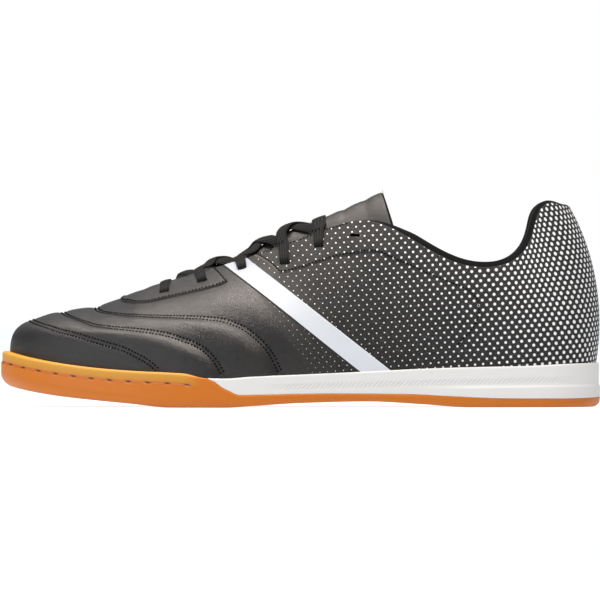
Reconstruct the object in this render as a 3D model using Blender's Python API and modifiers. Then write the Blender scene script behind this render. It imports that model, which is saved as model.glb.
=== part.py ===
"""Indoor soccer shoe for the left foot, EU size 42, standing empty on its gum sole.

Metres, +Z up. The toe points to -X, the heel to +X, the outer (lateral) side to -Y and the inner (medial)
side to +Y. The origin lies on the floor, under the middle of the heel.

The upper is a band that runs once round the foot. Seventeen stations lead from the heel to the toe, and each
stands on both sides of the shoe. At a station a wall curve climbs from the foot line, where upper and sole
meet, to the top line, which is the collar at the back and the throat at the front. Everything else, from the
sole to the laces, takes its place from that same surface.
"""

import bmesh
import bpy
import numpy as np

# Driving sizes of the last
LENGTH = 0.290
BALL_WIDTH = 0.098
HEEL_WIDTH = 0.072
COLLAR_WIDTH = 0.065
THROAT_WIDTH = 0.025
HEEL_HEIGHT = 0.0967
ANKLE_HEIGHT = 0.0675
INSTEP_HEIGHT = 0.090
HEEL_BACK = 0.036  # from the origin to the back of the heel

# Driving sizes of the pieces
WALL = 0.0022
GAP = 0.0003
SOLE_HEIGHT = 0.0215  # top edge of the sole at the heel
TOE_OVERHANG = 0.0054
ARCH_RISE = 0.0028
STITCH_GROOVE = 0.0009
GROOVE_BELOW_RIM = 0.0050
SOLE_LIP = 0.0007
TREAD_DEPTH = 0.0014
TREAD_GROOVE = 0.0022
TREAD_PITCH = 0.0120
TREAD_MARGIN = 0.0090
INSOLE_THICK = 0.0035
TONGUE_THICK = 0.0032
TONGUE_RISE = 0.0065
TONGUE_TOP_RISE = 0.0145
TONGUE_LEAN = 0.0060
TONGUE_WING = 0.0130  # how far it reaches down under each stay
OVERLAY_THICK = 0.0010
EYELETS = 6
EYELET_RADIUS = 0.0021
EYELET_FROM_EDGE = 0.0122
LACE_WIDTH = 0.0056
LACE_THICK = 0.0013

# Foot line: along the shoe from the heel (share of LENGTH), the width that the row follows, and the
# shares of it on the outer and inner side
FOOT_LINE = (
    (0.0082, HEEL_WIDTH, 0.000, 0.000),
    (0.0142, HEEL_WIDTH, 0.181, 0.181),
    (0.0309, HEEL_WIDTH, 0.326, 0.326),
    (0.0610, HEEL_WIDTH, 0.424, 0.424),
    (0.1028, HEEL_WIDTH, 0.472, 0.468),
    (0.1529, HEEL_WIDTH, 0.493, 0.479),
    (0.2130, HEEL_WIDTH, 0.504, 0.465),
    (0.2799, BALL_WIDTH, 0.378, 0.332),
    (0.3467, BALL_WIDTH, 0.393, 0.327),
    (0.4052, BALL_WIDTH, 0.418, 0.342),
    (0.4637, BALL_WIDTH, 0.449, 0.372),
    (0.5422, BALL_WIDTH, 0.485, 0.423),
    (0.6258, BALL_WIDTH, 0.505, 0.474),
    (0.7210, BALL_WIDTH, 0.474, 0.500),
    (0.8346, BALL_WIDTH, 0.352, 0.454),
    (0.9348, BALL_WIDTH, 0.173, 0.316),
    (0.9808, BALL_WIDTH, -0.082, 0.082),
)

# Top line: along, the width it follows and half of the opening as a share of it, the shift of its middle
# to the inner side (share of BALL_WIDTH), the height it follows and the share of that height
TOP_LINE = (
    (0.0503, COLLAR_WIDTH, 0.000, 0.000, HEEL_HEIGHT, 1.000),
    (0.0610, COLLAR_WIDTH, 0.131, 0.000, HEEL_HEIGHT, 1.003),
    (0.0827, COLLAR_WIDTH, 0.238, 0.000, HEEL_HEIGHT, 1.016),
    (0.1036, COLLAR_WIDTH, 0.315, 0.000, HEEL_HEIGHT, 0.967),
    (0.1186, COLLAR_WIDTH, 0.385, 0.000, HEEL_HEIGHT, 0.827),
    (0.1529, COLLAR_WIDTH, 0.454, 0.000, ANKLE_HEIGHT, 1.030),
    (0.2130, COLLAR_WIDTH, 0.500, 0.000, ANKLE_HEIGHT, 1.000),
    (0.2765, COLLAR_WIDTH, 0.485, 0.000, ANKLE_HEIGHT, 1.096),
    (0.3383, COLLAR_WIDTH, 0.385, 0.002, INSTEP_HEIGHT, 0.940),
    (0.3968, THROAT_WIDTH, 0.700, 0.010, INSTEP_HEIGHT, 1.000),
    (0.4586, THROAT_WIDTH, 0.500, 0.020, INSTEP_HEIGHT, 0.952),
    (0.5505, THROAT_WIDTH, 0.420, 0.030, INSTEP_HEIGHT, 0.844),
    (0.6475, THROAT_WIDTH, 0.380, 0.040, INSTEP_HEIGHT, 0.744),
    (0.7210, THROAT_WIDTH, 0.320, 0.050, INSTEP_HEIGHT, 0.678),
    (0.7435, THROAT_WIDTH, 0.208, 0.052, INSTEP_HEIGHT, 0.656),
    (0.7497, THROAT_WIDTH, 0.096, 0.052, INSTEP_HEIGHT, 0.648),
    (0.7510, THROAT_WIDTH, 0.000, 0.052, INSTEP_HEIGHT, 0.646),
)

# Wall curve between the two lines: how far it swells out above the foot line and reaches out below the top
# line (shares of BALL_WIDTH), and how high and how low those two handles stand (shares of the wall's height)
WALL_CURVE = (
    # swell, rise, reach, drop
    (0.061, 0.38, 0.117, 0.25),
    (0.059, 0.38, 0.112, 0.25),
    (0.051, 0.38, 0.097, 0.25),
    (0.041, 0.36, 0.082, 0.28),
    (0.036, 0.35, 0.066, 0.30),
    (0.031, 0.35, 0.046, 0.30),
    (0.031, 0.35, 0.041, 0.30),
    (0.031, 0.35, 0.056, 0.30),
    (0.033, 0.35, 0.102, 0.28),
    (0.036, 0.36, 0.173, 0.22),
    (0.036, 0.38, 0.235, 0.20),
    (0.036, 0.42, 0.265, 0.18),
    (0.034, 0.48, 0.285, 0.18),
    (0.032, 0.58, 0.320, 0.30),
    (0.026, 0.68, 0.400, 0.46),
    (0.018, 0.76, 0.520, 0.57),
    (0.014, 0.80, 0.600, 0.60),
)

# Sole along the shoe: height of the tread, of the seat under the upper and of the rim round it, and the round
# of the lower edge (shares of SOLE_HEIGHT), and how far it stands out past the foot line (share of TOE_OVERHANG)
SOLE = (
    # along, tread, seat, rim, roll, overhang
    (0.000, 0.000, 0.814, 1.000, 0.160, 0.37),
    (0.060, 0.000, 0.800, 0.972, 0.140, 0.33),
    (0.130, 0.000, 0.763, 0.926, 0.116, 0.33),
    (0.215, 0.000, 0.726, 0.902, 0.102, 0.33),
    (0.300, 0.074, 0.679, 0.865, 0.093, 0.37),
    (0.390, 0.135, 0.623, 0.805, 0.093, 0.41),
    (0.500, 0.102, 0.558, 0.740, 0.093, 0.44),
    (0.580, 0.037, 0.512, 0.693, 0.102, 0.52),
    (0.625, 0.000, 0.484, 0.651, 0.116, 0.56),
    (0.655, 0.000, 0.474, 0.660, 0.140, 0.61),
    (0.690, 0.000, 0.493, 0.763, 0.163, 0.67),
    (0.715, 0.000, 0.512, 0.786, 0.177, 0.70),
    (0.770, 0.070, 0.558, 0.819, 0.209, 0.74),
    (0.830, 0.145, 0.637, 0.879, 0.233, 0.78),
    (0.895, 0.235, 0.758, 0.990, 0.265, 0.83),
    (0.950, 0.360, 0.905, 1.130, 0.275, 0.93),
    (1.000, 0.580, 1.090, 1.310, 0.270, 1.00),
)

# Joint between the gum outsole and the white midsole: along, and its height as a share of SOLE_HEIGHT
SPLIT = (
    (-0.050, 0.250),
    (0.060, 0.195),
    (0.160, 0.200),
    (0.250, 0.247),
    (0.330, 0.298),
    (0.460, 0.312),
    (0.570, 0.288),
    (0.600, 0.282),
    (0.619, 0.377),
    (0.631, 0.465),
    (0.644, 0.591),
    (0.655, 0.665),
    (0.662, 1.800),
)

# Front and rear lace stays: station, and the width of the stay below the top line
FRONT_STAY = (
    (11.75, 0.0060),
    (12.00, 0.0140),
    (12.60, 0.0160),
    (13.30, 0.0165),
    (14.20, 0.0160),
    (15.00, 0.0145),
    (16.00, 0.0140),
)
REAR_STAY = (
    (7.90, 0.0125),
    (8.30, 0.0150),
    (9.00, 0.0170),
    (9.80, 0.0185),
    (10.50, 0.0185),
    (10.85, 0.0160),
    (11.25, 0.0020),
)

# Collar lining: station, height of its roll over the top line, thickness of its padding, depth inside the shoe
COLLAR = (
    (0.0, 0.0022, 0.0045, 0.030),
    (2.5, 0.0026, 0.0055, 0.030),
    (4.0, 0.0042, 0.0060, 0.026),
    (7.0, 0.0048, 0.0055, 0.024),
    (7.6, 0.0046, 0.0030, 0.020),
    (8.0, 0.0034, 0.0013, 0.015),
    (9.0, 0.0016, 0.0012, 0.010),
)

STATIONS = len(FOOT_LINE) - 1
LOOP = 2 * STATIONS
TOE = STATIONS
FIRST_EYELET = 0.726
LAST_EYELET = 0.409
TONGUE_FRONT = 14.1
TONGUE_FREE = 9.6  # from here to the end it rises clear of the stays
TONGUE_END = 8.1
TONGUE_ENTRY = 3.2  # stations over which it rises from under the vamp
TONGUE_FULLNESS = 0.28  # of the throat's width: how square its arch is
STRAND_REACH = 0.74  # of the way to the next row, where a crossing lace goes under the stay
UPPER_AROUND = 44
UPPER_LEVELS = 13
TOP_SHARE = 0.35  # how much the top line sets the spacing round the upper
SOLE_AROUND = 40
HEEL_TREAD = (0.062, 0.230)  # grooves from and to, along the shoe
BALL_TREAD = (0.600, 0.860)
ARCH = (0.24, 0.58)
STITCHED_FROM = 0.665  # along: ahead of it the rim has a stitch groove
STITCHED_BY = 0.695
STEP = 1e-4


def clear_scene():
    for thing in list(bpy.data.objects):
        bpy.data.objects.remove(thing, do_unlink=True)


def new_collection(name, hidden=False):
    made = bpy.data.collections.new(name)
    bpy.context.scene.collection.children.link(made)
    made.hide_render = hidden
    return made


def finish(name, colour, roughness):
    """Principled material of one piece."""
    made = bpy.data.materials.new(name)
    made.use_nodes = True
    shader = made.node_tree.nodes["Principled BSDF"]
    shader.inputs["Base Color"].default_value = (*colour, 1.0)
    shader.inputs["Roughness"].default_value = roughness
    shader.inputs["Metallic"].default_value = 0.0
    return made


def piece(name, points, faces, collection, material=None):
    """An object whose mesh holds these points and faces, with all faces turned outwards."""
    mesh = bpy.data.meshes.new(name)
    mesh.from_pydata([tuple(p) for p in points], [], faces)
    built = bmesh.new()
    built.from_mesh(mesh)
    bmesh.ops.recalc_face_normals(built, faces=built.faces)
    built.to_mesh(mesh)
    built.free()
    mesh.shade_smooth()
    mesh.set_sharp_from_angle(angle=np.radians(35))
    if material:
        mesh.materials.append(material)
    made = bpy.data.objects.new(name, mesh)
    collection.objects.link(made)
    return made


def loop_curve(values, at):
    """Smooth closed curve through one value for each station, read at station numbers."""
    count = len(values)
    system = 4 * np.eye(count) + np.roll(np.eye(count), 1, 0) + np.roll(np.eye(count), -1, 0)
    bend = np.linalg.solve(system, 6 * (np.roll(values, 1) - 2 * values + np.roll(values, -1)))
    low = np.floor(at).astype(int)
    part = at - low
    low, high = low % count, (low + 1) % count
    near, far = 1 - part, part
    line = near * values[low] + far * values[high]
    return line + ((near**3 - near) * bend[low] + (far**3 - far) * bend[high]) / 6


def table_curve(table, column, at):
    """Smooth curve through one column of a table against its first column. It never overshoots a row."""
    along = np.array([row[0] for row in table])
    values = np.array([row[column] for row in table])
    slope = np.diff(values) / np.diff(along)
    tangent = np.zeros(len(values))
    same_way = slope[:-1] * slope[1:] > 0
    product = np.where(same_way, slope[:-1] * slope[1:], 0.0)
    total = np.where(same_way, slope[:-1] + slope[1:], 1.0)
    tangent[1:-1] = 2 * product / total
    tangent[0], tangent[-1] = slope[0], slope[-1]
    at = np.clip(at, along[0], along[-1])
    low = np.clip(np.searchsorted(along, at, side="right") - 1, 0, len(along) - 2)
    width = along[low + 1] - along[low]
    part = (at - along[low]) / width
    rise = values[low + 1] - values[low]
    lead, trail = width * tangent[low], width * tangent[low + 1]
    bow = part * (1 - part) * (lead * (1 - part) - trail * part + rise * (2 * part - 1))
    return values[low] + rise * part + bow


def both_sides(outer, inner):
    """Station values round the whole loop: heel, outer side, toe, inner side."""
    return np.concatenate([outer, inner[-2:0:-1]])


def along_to_x(share):
    return HEEL_BACK - share * LENGTH


def x_to_along(x):
    return (HEEL_BACK - x) / LENGTH


FOOT_X = np.array([along_to_x(row[0]) for row in FOOT_LINE])
FOOT_OUTER = np.array([-row[1] * row[2] for row in FOOT_LINE])
FOOT_INNER = np.array([row[1] * row[3] for row in FOOT_LINE])
TOP_X = np.array([along_to_x(row[0]) for row in TOP_LINE])
TOP_HALF = np.array([row[1] * row[2] for row in TOP_LINE])
TOP_MIDDLE = np.array([BALL_WIDTH * row[3] for row in TOP_LINE])
TOP_Z = np.array([row[4] * row[5] for row in TOP_LINE])
CURVE = np.array(WALL_CURVE)

COLUMNS = {
    "foot_x": both_sides(FOOT_X, FOOT_X),
    "foot_y": both_sides(FOOT_OUTER, FOOT_INNER),
    "top_x": both_sides(TOP_X, TOP_X),
    "top_y": both_sides(TOP_MIDDLE - TOP_HALF, TOP_MIDDLE + TOP_HALF),
    "top_z": both_sides(TOP_Z, TOP_Z),
    "swell": both_sides(CURVE[:, 0], CURVE[:, 0]) * BALL_WIDTH,
    "rise": both_sides(CURVE[:, 1], CURVE[:, 1]),
    "reach": both_sides(CURVE[:, 2], CURVE[:, 2]) * BALL_WIDTH,
    "drop": both_sides(CURVE[:, 3], CURVE[:, 3]),
}


def column(name, station):
    return loop_curve(COLUMNS[name], np.asarray(station, float))


def sole_height(name, along):
    """Height of the tread, seat or rim, or the round of the lower edge, in metres."""
    names = ("tread", "seat", "rim", "roll")
    return table_curve(SOLE, 1 + names.index(name), along) * SOLE_HEIGHT


def overhang(along):
    return table_curve(SOLE, 5, along) * TOE_OVERHANG


def foot_point(station):
    x = column("foot_x", station)
    y = column("foot_y", station)
    return np.stack([x, y, sole_height("seat", x_to_along(x)) + GAP], axis=-1)


def top_point(station):
    names = ("top_x", "top_y", "top_z")
    return np.stack([column(name, station) for name in names], axis=-1)


def wall_point(station, share):
    """The upper's outer face: a four-handle curve in the upright plane through foot and top point."""
    station, share = np.broadcast_arrays(np.asarray(station, float), np.asarray(share, float))
    foot, top = foot_point(station), top_point(station)
    out = foot - top
    out[..., 2] = 0.0
    out /= np.linalg.norm(out, axis=-1, keepdims=True)
    tall = (top - foot)[..., 2:]
    up = np.array([0.0, 0.0, 1.0])
    low = foot + out * column("swell", station)[..., None] + up * tall * column("rise", station)[..., None]
    high = top + out * column("reach", station)[..., None] - up * tall * column("drop", station)[..., None]
    t = share[..., None]
    rest = 1 - t
    return rest**3 * foot + 3 * rest**2 * t * low + 3 * rest * t**2 * high + t**3 * top


def wall_frame(station, share):
    """Outward normal and climbing direction of the outer face."""
    share = np.clip(share, STEP, 1 - STEP)
    climb = wall_point(station, share + STEP) - wall_point(station, share - STEP)
    ahead = wall_point(station + STEP, share) - wall_point(station - STEP, share)
    normal = np.cross(climb, ahead)
    normal /= np.linalg.norm(normal, axis=-1, keepdims=True)
    return normal, climb / np.linalg.norm(climb, axis=-1, keepdims=True)


def wall_offset(station, share, out, above=0.0):
    """A point at a distance out from the outer face, and above the top line, square to it, where share is 1."""
    station, share, out, above = np.broadcast_arrays(
        *(np.asarray(v, float) for v in (station, share, out, above))
    )
    normal, climb = wall_frame(station, share)
    brow = np.cross(normal, top_point(station + STEP) - top_point(station - STEP))
    brow *= np.sign(np.sum(brow * climb, axis=-1, keepdims=True))
    brow /= np.linalg.norm(brow, axis=-1, keepdims=True)
    return wall_point(station, share) + normal * out[..., None] + brow * above[..., None]


def share_below(stations, distance):
    """Share of the wall curve at a distance below the top line, measured down the wall."""
    shares = np.linspace(0.3, 1.0, 141)
    found = []
    for station, wanted in zip(stations, np.broadcast_to(distance, np.shape(stations))):
        line = wall_point(np.full(shares.size, station), shares)
        steps = np.linalg.norm(np.diff(line, axis=0), axis=1)
        left = np.concatenate([np.cumsum(steps[::-1])[::-1], [0.0]])
        found.append(np.interp(-wanted, -left, shares))
    return np.array(found)


def even_stations(count, top_share):
    """Stations from heel to toe, evenly spaced along a mix of the foot line and the top line."""
    fine = np.linspace(0, TOE, 60 * TOE + 1)
    foot = np.linalg.norm(np.diff(foot_point(fine), axis=0), axis=1)
    top = np.linalg.norm(np.diff(top_point(fine), axis=0), axis=1)
    travelled = np.concatenate([[0], np.cumsum(foot * (1 - top_share) + top * top_share)])
    outer = np.interp(np.linspace(0, travelled[-1], count + 1), travelled, fine)
    return np.concatenate([outer, LOOP - outer[-2:0:-1]])


def grid_faces(rows, columns, closed):
    """Quads of a grid of points, row by row. A closed grid joins its last column to its first."""
    faces = []
    for r in range(rows - 1):
        for c in range(columns if closed else columns - 1):
            after = (c + 1) % columns
            corners = (r * columns + c, r * columns + after, (r + 1) * columns + after, (r + 1) * columns + c)
            faces.append(corners)
    return faces


def ladder(ring, first, height=None, across=4):
    """Points and faces that close a ring with straight strips from its outer to its inner side."""
    count = len(ring)
    half = count // 2
    points, faces = [], []
    start = first + count
    shares = np.linspace(0, 1, across + 1)[1:-1]
    rungs = []
    for i in range(1, half):
        outer, inner = ring[i], ring[count - i]
        between = np.array([outer * (1 - f) + inner * f for f in shares])
        if height is not None:
            between[:, 2] = height(between[:, 0], between[:, 1])
        rungs.append([first + i, *range(start + len(points), start + len(points) + across - 1), first + count - i])
        points.extend(between)
    for a, b in zip(rungs, rungs[1:]):
        faces.extend([(a[k], a[k + 1], b[k + 1], b[k]) for k in range(across)])
    faces.extend([(first, rungs[0][k + 1], rungs[0][k]) for k in range(across)])
    faces.extend([(first + half, rungs[-1][k], rungs[-1][k + 1]) for k in range(across)])
    return points, faces


def closed_stack(rings, floor=None, roof=None):
    """A solid from rings round the shoe: the first is closed by a floor and the last by a roof."""
    count = rings.shape[1]
    points = [p for ring in rings for p in ring]
    faces = grid_faces(len(rings), count, True)
    for index, height in ((0, floor), (len(rings) - 1, roof)):
        more, more_faces = ladder(rings[index], index * count, height)
        shift = len(points) - (index + 1) * count
        limit = (index + 1) * count
        faces.extend([tuple(v + shift if v >= limit else v for v in face) for face in more_faces])
        points.extend(more)
    return points, faces


def apply_modifiers(thing):
    """Turns the evaluated mesh into the object's own, and drops its modifiers."""
    graph = bpy.context.evaluated_depsgraph_get()
    mesh = bpy.data.meshes.new_from_object(thing.evaluated_get(graph))
    thing.modifiers.clear()
    thing.data = mesh


def boolean(thing, cutter, operation):
    made = thing.modifiers.new(operation.title(), "BOOLEAN")
    made.operation = operation
    made.object = cutter
    bpy.context.view_layer.update()
    apply_modifiers(thing)


def thicken(thing, thickness, offset):
    made = thing.modifiers.new("Wall", "SOLIDIFY")
    made.thickness = thickness
    made.offset = offset
    made.use_even_offset = True
    made.thickness_clamp = 1.0
    bpy.context.view_layer.update()
    apply_modifiers(thing)


def cutter_box(name, low, high, cutters):
    bpy.ops.mesh.primitive_cube_add(size=1.0)
    made = bpy.context.object
    made.name = name
    made.scale = [h - l for l, h in zip(low, high)]
    made.location = [(h + l) / 2 for l, h in zip(low, high)]
    bpy.ops.object.transform_apply(location=False, rotation=False, scale=True)
    hide_in(made, cutters)
    return made


def hide_in(thing, cutters):
    for owner in list(thing.users_collection):
        owner.objects.unlink(thing)
    cutters.objects.link(thing)
    thing.hide_render = True
    thing.display_type = "WIRE"


def tread_height(x, y):
    """The underside: flat at heel and ball, with the toe spring, and an arch that is higher inside."""
    along = x_to_along(x)
    waist = np.clip((along - ARCH[0]) / (ARCH[1] - ARCH[0]), 0, 1)
    hump = np.sin(np.pi * waist) ** 2
    inner = np.clip(0.5 + y / HEEL_WIDTH, 0, 1)
    return sole_height("tread", along) + ARCH_RISE * hump * inner**2


def sole_ring(stations, out, height):
    """Ring at a distance out from the foot line in the plan, at the height of each of its points."""
    foot = foot_point(stations)
    ahead = foot_point(stations + STEP) - foot_point(stations - STEP)
    normal = np.stack([ahead[:, 1], -ahead[:, 0]], axis=-1)
    normal /= np.linalg.norm(normal, axis=-1, keepdims=True)
    ring = foot.copy()
    ring[:, :2] -= normal * out[:, None]
    ring[:, 2] = height(ring)
    return ring


def sole_block(collection):
    """Outsole and midsole as one body: tread, rolled edge, side, stitch groove, rim and recessed seat."""
    stations = even_stations(SOLE_AROUND, 0.0)
    along = x_to_along(column("foot_x", stations))
    over = overhang(along)
    roll = sole_height("roll", along)
    rim = sole_height("rim", along)
    seat = sole_height("seat", along)
    groove = STITCH_GROOVE * np.clip((along - STITCHED_FROM) / (STITCHED_BY - STITCHED_FROM), 0, 1)
    groove_z = rim - GROOVE_BELOW_RIM
    lip = SOLE_LIP
    shoulder = 1 - np.sqrt(0.5)  # of the roll: the middle of its quarter round

    def tread_plus(extra):
        return lambda ring: tread_height(ring[:, 0], ring[:, 1]) + extra

    low = tread_height(column("foot_x", stations), column("foot_y", stations)) + roll
    rings = [
        sole_ring(stations, over - roll, tread_plus(0 * roll)),
        sole_ring(stations, over - shoulder * roll, tread_plus(shoulder * roll)),
        sole_ring(stations, over, lambda ring: low),
        sole_ring(stations, over, lambda ring: np.maximum(groove_z - lip, low + lip)),
        sole_ring(stations, over - groove, lambda ring: np.maximum(groove_z, low + 2 * lip)),
        sole_ring(stations, over - 0.3 * groove, lambda ring: np.maximum(groove_z + lip, low + 3 * lip)),
        sole_ring(stations, over - 0.3 * groove, lambda ring: rim - 1.3 * lip),
        sole_ring(stations, over - lip, lambda ring: rim),
        sole_ring(stations, 0 * over + 4 * GAP, lambda ring: rim - GAP),
        sole_ring(stations, 0 * over + GAP, lambda ring: seat),
    ]
    roof = lambda x, y: sole_height("seat", x_to_along(x))
    points, faces = closed_stack(np.array(rings), tread_height, roof)
    return piece("outsole", points, faces, collection)


def above_split(name, cutters, clearance):
    """Solid that fills all above the joint of outsole and midsole, from side to side."""
    outline = [(along_to_x(along - clearance / LENGTH), SOLE_HEIGHT * high + clearance) for along, high in SPLIT]
    top = 2 * SOLE_HEIGHT
    outline[-1] = (outline[-1][0], top)
    outline.append((outline[0][0], top))
    count = len(outline)
    points = [(x, side * BALL_WIDTH, z) for side in (-1, 1) for x, z in outline]
    faces = [tuple(range(count)), tuple(range(2 * count - 1, count - 1, -1))]
    faces += [(i, (i + 1) % count, count + (i + 1) % count, count + i) for i in range(count)]
    made = piece(name, points, faces, cutters)
    hide_in(made, cutters)
    return made


def tread_cutters(cutters):
    """Flex grooves across the heel and the ball. They stop short of the sole's edge."""
    fine = np.linspace(0, TOE, 400)
    foot_x = column("foot_x", fine)
    made = []
    for start, end in (HEEL_TREAD, BALL_TREAD):
        for along in np.arange(start, end, TREAD_PITCH / LENGTH):
            x = along_to_x(along)
            outer = np.interp(-x, -foot_x, column("foot_y", fine)) + TREAD_MARGIN
            inner = np.interp(-x, -foot_x, column("foot_y", LOOP - fine)) - TREAD_MARGIN
            top = tread_height(np.array([x]), np.array([outer]))[0] + TREAD_DEPTH
            low = (x - TREAD_GROOVE / 2, outer, -SOLE_HEIGHT)
            high = (x + TREAD_GROOVE / 2, inner, top)
            made.append(cutter_box(f"tread_cutter_{len(made)}", low, high, cutters))
    return made


def make_sole(collection, cutters):
    """Gum outsole, wrapped up round the toe, and white midsole let into it behind the ball."""
    outsole = sole_block(collection)
    midsole = outsole.copy()
    midsole.data = outsole.data.copy()
    midsole.name = "midsole"
    collection.objects.link(midsole)
    boolean(outsole, above_split("gum_joint", cutters, 0.0), "DIFFERENCE")
    boolean(midsole, above_split("white_joint", cutters, GAP), "INTERSECT")
    for groove in tread_cutters(cutters):
        boolean(outsole, groove, "DIFFERENCE")
    outsole.data.materials.append(finish("gum_rubber", (0.72, 0.27, 0.05), 0.45))
    midsole.data.materials.append(finish("white_foam", (0.86, 0.86, 0.85), 0.55))


def eyelet_places():
    """Station and wall share of each eyelet of the outer side, front to back."""
    fine = np.linspace(8, TOE - 1, 800)
    top_along = x_to_along(column("top_x", fine))
    stations = np.interp(np.linspace(FIRST_EYELET, LAST_EYELET, EYELETS), top_along, fine)
    return list(zip(stations, share_below(stations, EYELET_FROM_EDGE)))


def both(station, side):
    """The same station on the outer side (side 0) or the inner side (side 1)."""
    return LOOP - station if side else station


def eyelet_cutter(number, station, share, cutters):
    """Short rod through wall and lace stay, square to the wall."""
    normal, _ = wall_frame(np.array(station), np.array(share))
    centre = wall_point(np.array(station), np.array(share))
    bpy.ops.mesh.primitive_cylinder_add(vertices=10, radius=EYELET_RADIUS, depth=6 * WALL)
    made = bpy.context.object
    made.name = f"eyelet_cutter_{number}"
    turn = np.array([0.0, 0.0, 1.0])
    axis = np.cross(turn, normal)
    made.rotation_mode = "AXIS_ANGLE"
    made.rotation_axis_angle = (np.arccos(normal[2]), *(axis / np.linalg.norm(axis)))
    made.location = centre
    hide_in(made, cutters)
    return made


def eyelet_cutters(cutters):
    made = []
    for station, share in eyelet_places():
        for side in (0, 1):
            made.append(eyelet_cutter(len(made), both(station, side), share, cutters))
    return made


def make_upper(collection, holes):
    """The hollow upper: one wall round the foot, open at collar and throat, and underneath."""
    stations = even_stations(UPPER_AROUND, TOP_SHARE)
    shares = np.linspace(0, 1, UPPER_LEVELS + 1)
    rows = np.array([wall_point(stations, np.full(len(stations), share)) for share in shares])
    points = rows.reshape(-1, 3)
    faces = grid_faces(len(shares), len(stations), True)
    upper = piece("upper", points, faces, collection)
    turned = upper.data.polygons[0]
    outward = wall_frame(np.array(stations[0]), np.array(shares[0]))[0]
    facing = np.dot(np.array(turned.normal), outward)
    thicken(upper, WALL, -1.0 if facing > 0 else 1.0)
    for hole in holes:
        boolean(upper, hole, "DIFFERENCE")
    upper.data.materials.append(finish("black_leather", (0.03, 0.03, 0.032), 0.5))
    return upper


def make_stay(name, stations, lower, collection, holes, material):
    """A lace stay: a strip laid on the wall between its lower edge and the throat, with eyelets in it."""
    levels = np.linspace(0, 1, 4)
    inside = np.array([wall_offset(stations, lower * (1 - f) + f, GAP) for f in levels])
    outside = np.array([wall_offset(stations, lower * (1 - f) + f, GAP + OVERLAY_THICK) for f in levels])
    count = len(stations)
    under = [p for row in inside for p in row]
    over = [p for row in outside for p in row]
    size = len(under)
    faces = grid_faces(len(levels), count, False)
    faces += [tuple(v + size for v in face[::-1]) for face in grid_faces(len(levels), count, False)]
    last = (len(levels) - 1) * count
    for c in range(count - 1):
        faces.append((c, c + 1, size + c + 1, size + c))
        faces.append((last + c + 1, last + c, size + last + c, size + last + c + 1))
    for r in range(len(levels) - 1):
        a, b = r * count, (r + 1) * count
        faces.append((b, a, size + a, size + b))
        faces.append((a + count - 1, b + count - 1, size + b + count - 1, size + a + count - 1))
    made = piece(name, under + over, faces, collection)
    for hole in holes:
        boolean(made, hole, "DIFFERENCE")
    made.data.materials.append(material)


def make_stays(collection, holes):
    """Front stay round the toe end of the throat, and one rear stay on each side."""
    material = finish("stay_leather", (0.045, 0.045, 0.048), 0.5)
    front = np.linspace(FRONT_STAY[0][0], TOE, 15)
    lower = share_below(front, table_curve(FRONT_STAY, 1, front))
    stations = np.concatenate([front, LOOP - front[-2::-1]])
    make_stay("front_lace_stay", stations, np.concatenate([lower, lower[-2::-1]]), collection, holes, material)
    rear = np.linspace(REAR_STAY[0][0], REAR_STAY[-1][0], 14)
    lower = share_below(rear, table_curve(REAR_STAY, 1, rear))
    for side, name in enumerate(("rear_lace_stay_outer", "rear_lace_stay_inner")):
        make_stay(name, both(rear, side), lower, collection, holes, material)


def make_insole(collection):
    """Sock liner on the seat, just inside the upper."""
    stations = even_stations(32, 0.0)
    edge = np.full(len(stations), -(WALL + 2 * GAP))
    seat = lambda ring: sole_height("seat", x_to_along(ring[:, 0])) + GAP
    thick = INSOLE_THICK
    rings = [
        sole_ring(stations, edge, seat),
        sole_ring(stations, edge, lambda ring: seat(ring) + 0.8 * thick),
        sole_ring(stations, edge - 0.3 * thick, lambda ring: seat(ring) + thick),
    ]
    floor = lambda x, y: sole_height("seat", x_to_along(x)) + GAP
    roof = lambda x, y: sole_height("seat", x_to_along(x)) + GAP + thick
    points, faces = closed_stack(np.array(rings), floor, roof)
    piece("insole", points, faces, collection, finish("insole_cloth", (0.05, 0.05, 0.055), 0.85))


def tongue_inset(station):
    """Distance of the tongue's upper face inside the wall's outer face: past the lining where there is one."""
    lined = np.clip((COLLAR[-1][0] + 0.5 - station) / 0.4, 0, 1)
    return WALL + 2 * GAP + lined * (COLLAR[-1][2] + 3 * GAP)


def tongue_arch(station, across):
    """The tongue's upper face between the two top lines: across runs from 0, outer side, to 1, inner side."""
    station, across = np.broadcast_arrays(np.asarray(station, float), np.asarray(across, float))
    start = wall_offset(station, 1.0, -tongue_inset(station))
    end = wall_offset(LOOP - station, 1.0, -tongue_inset(station))
    free = np.clip((TONGUE_FREE - station) / (TONGUE_FREE - TONGUE_END), 0, 1)
    entry = np.clip((TONGUE_FRONT - station) / TONGUE_ENTRY, 0, 1)
    rise = TONGUE_RISE * entry + TONGUE_TOP_RISE * free
    lift = np.stack([-TONGUE_LEAN * free**2, 0 * free, rise], axis=-1) * 4 / 3
    fullness = TONGUE_FULLNESS * (end - start)
    low, high = start + lift + fullness, end + lift - fullness
    t = across[..., None]
    rest = 1 - t
    return rest**3 * start + 3 * rest**2 * t * low + 3 * rest * t**2 * high + t**3 * end


def tongue_row(station):
    """One line across the tongue's upper face, from under one stay, over the ridge, to under the other."""
    free = np.clip((TONGUE_FREE - station) / (TONGUE_FREE - TONGUE_END), 0, 1)
    wing = share_below([station], TONGUE_WING * (1 - 0.85 * free))[0]
    shares = np.array([wing, (1 + wing) / 2])
    inset = tongue_inset(station)
    outer = wall_offset(np.full(2, station), shares, -inset)
    inner = wall_offset(np.full(2, LOOP - station), shares, -inset)
    arch = tongue_arch(station, np.linspace(0, 1, 9))
    return np.concatenate([outer, arch, inner[::-1]])


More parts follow.
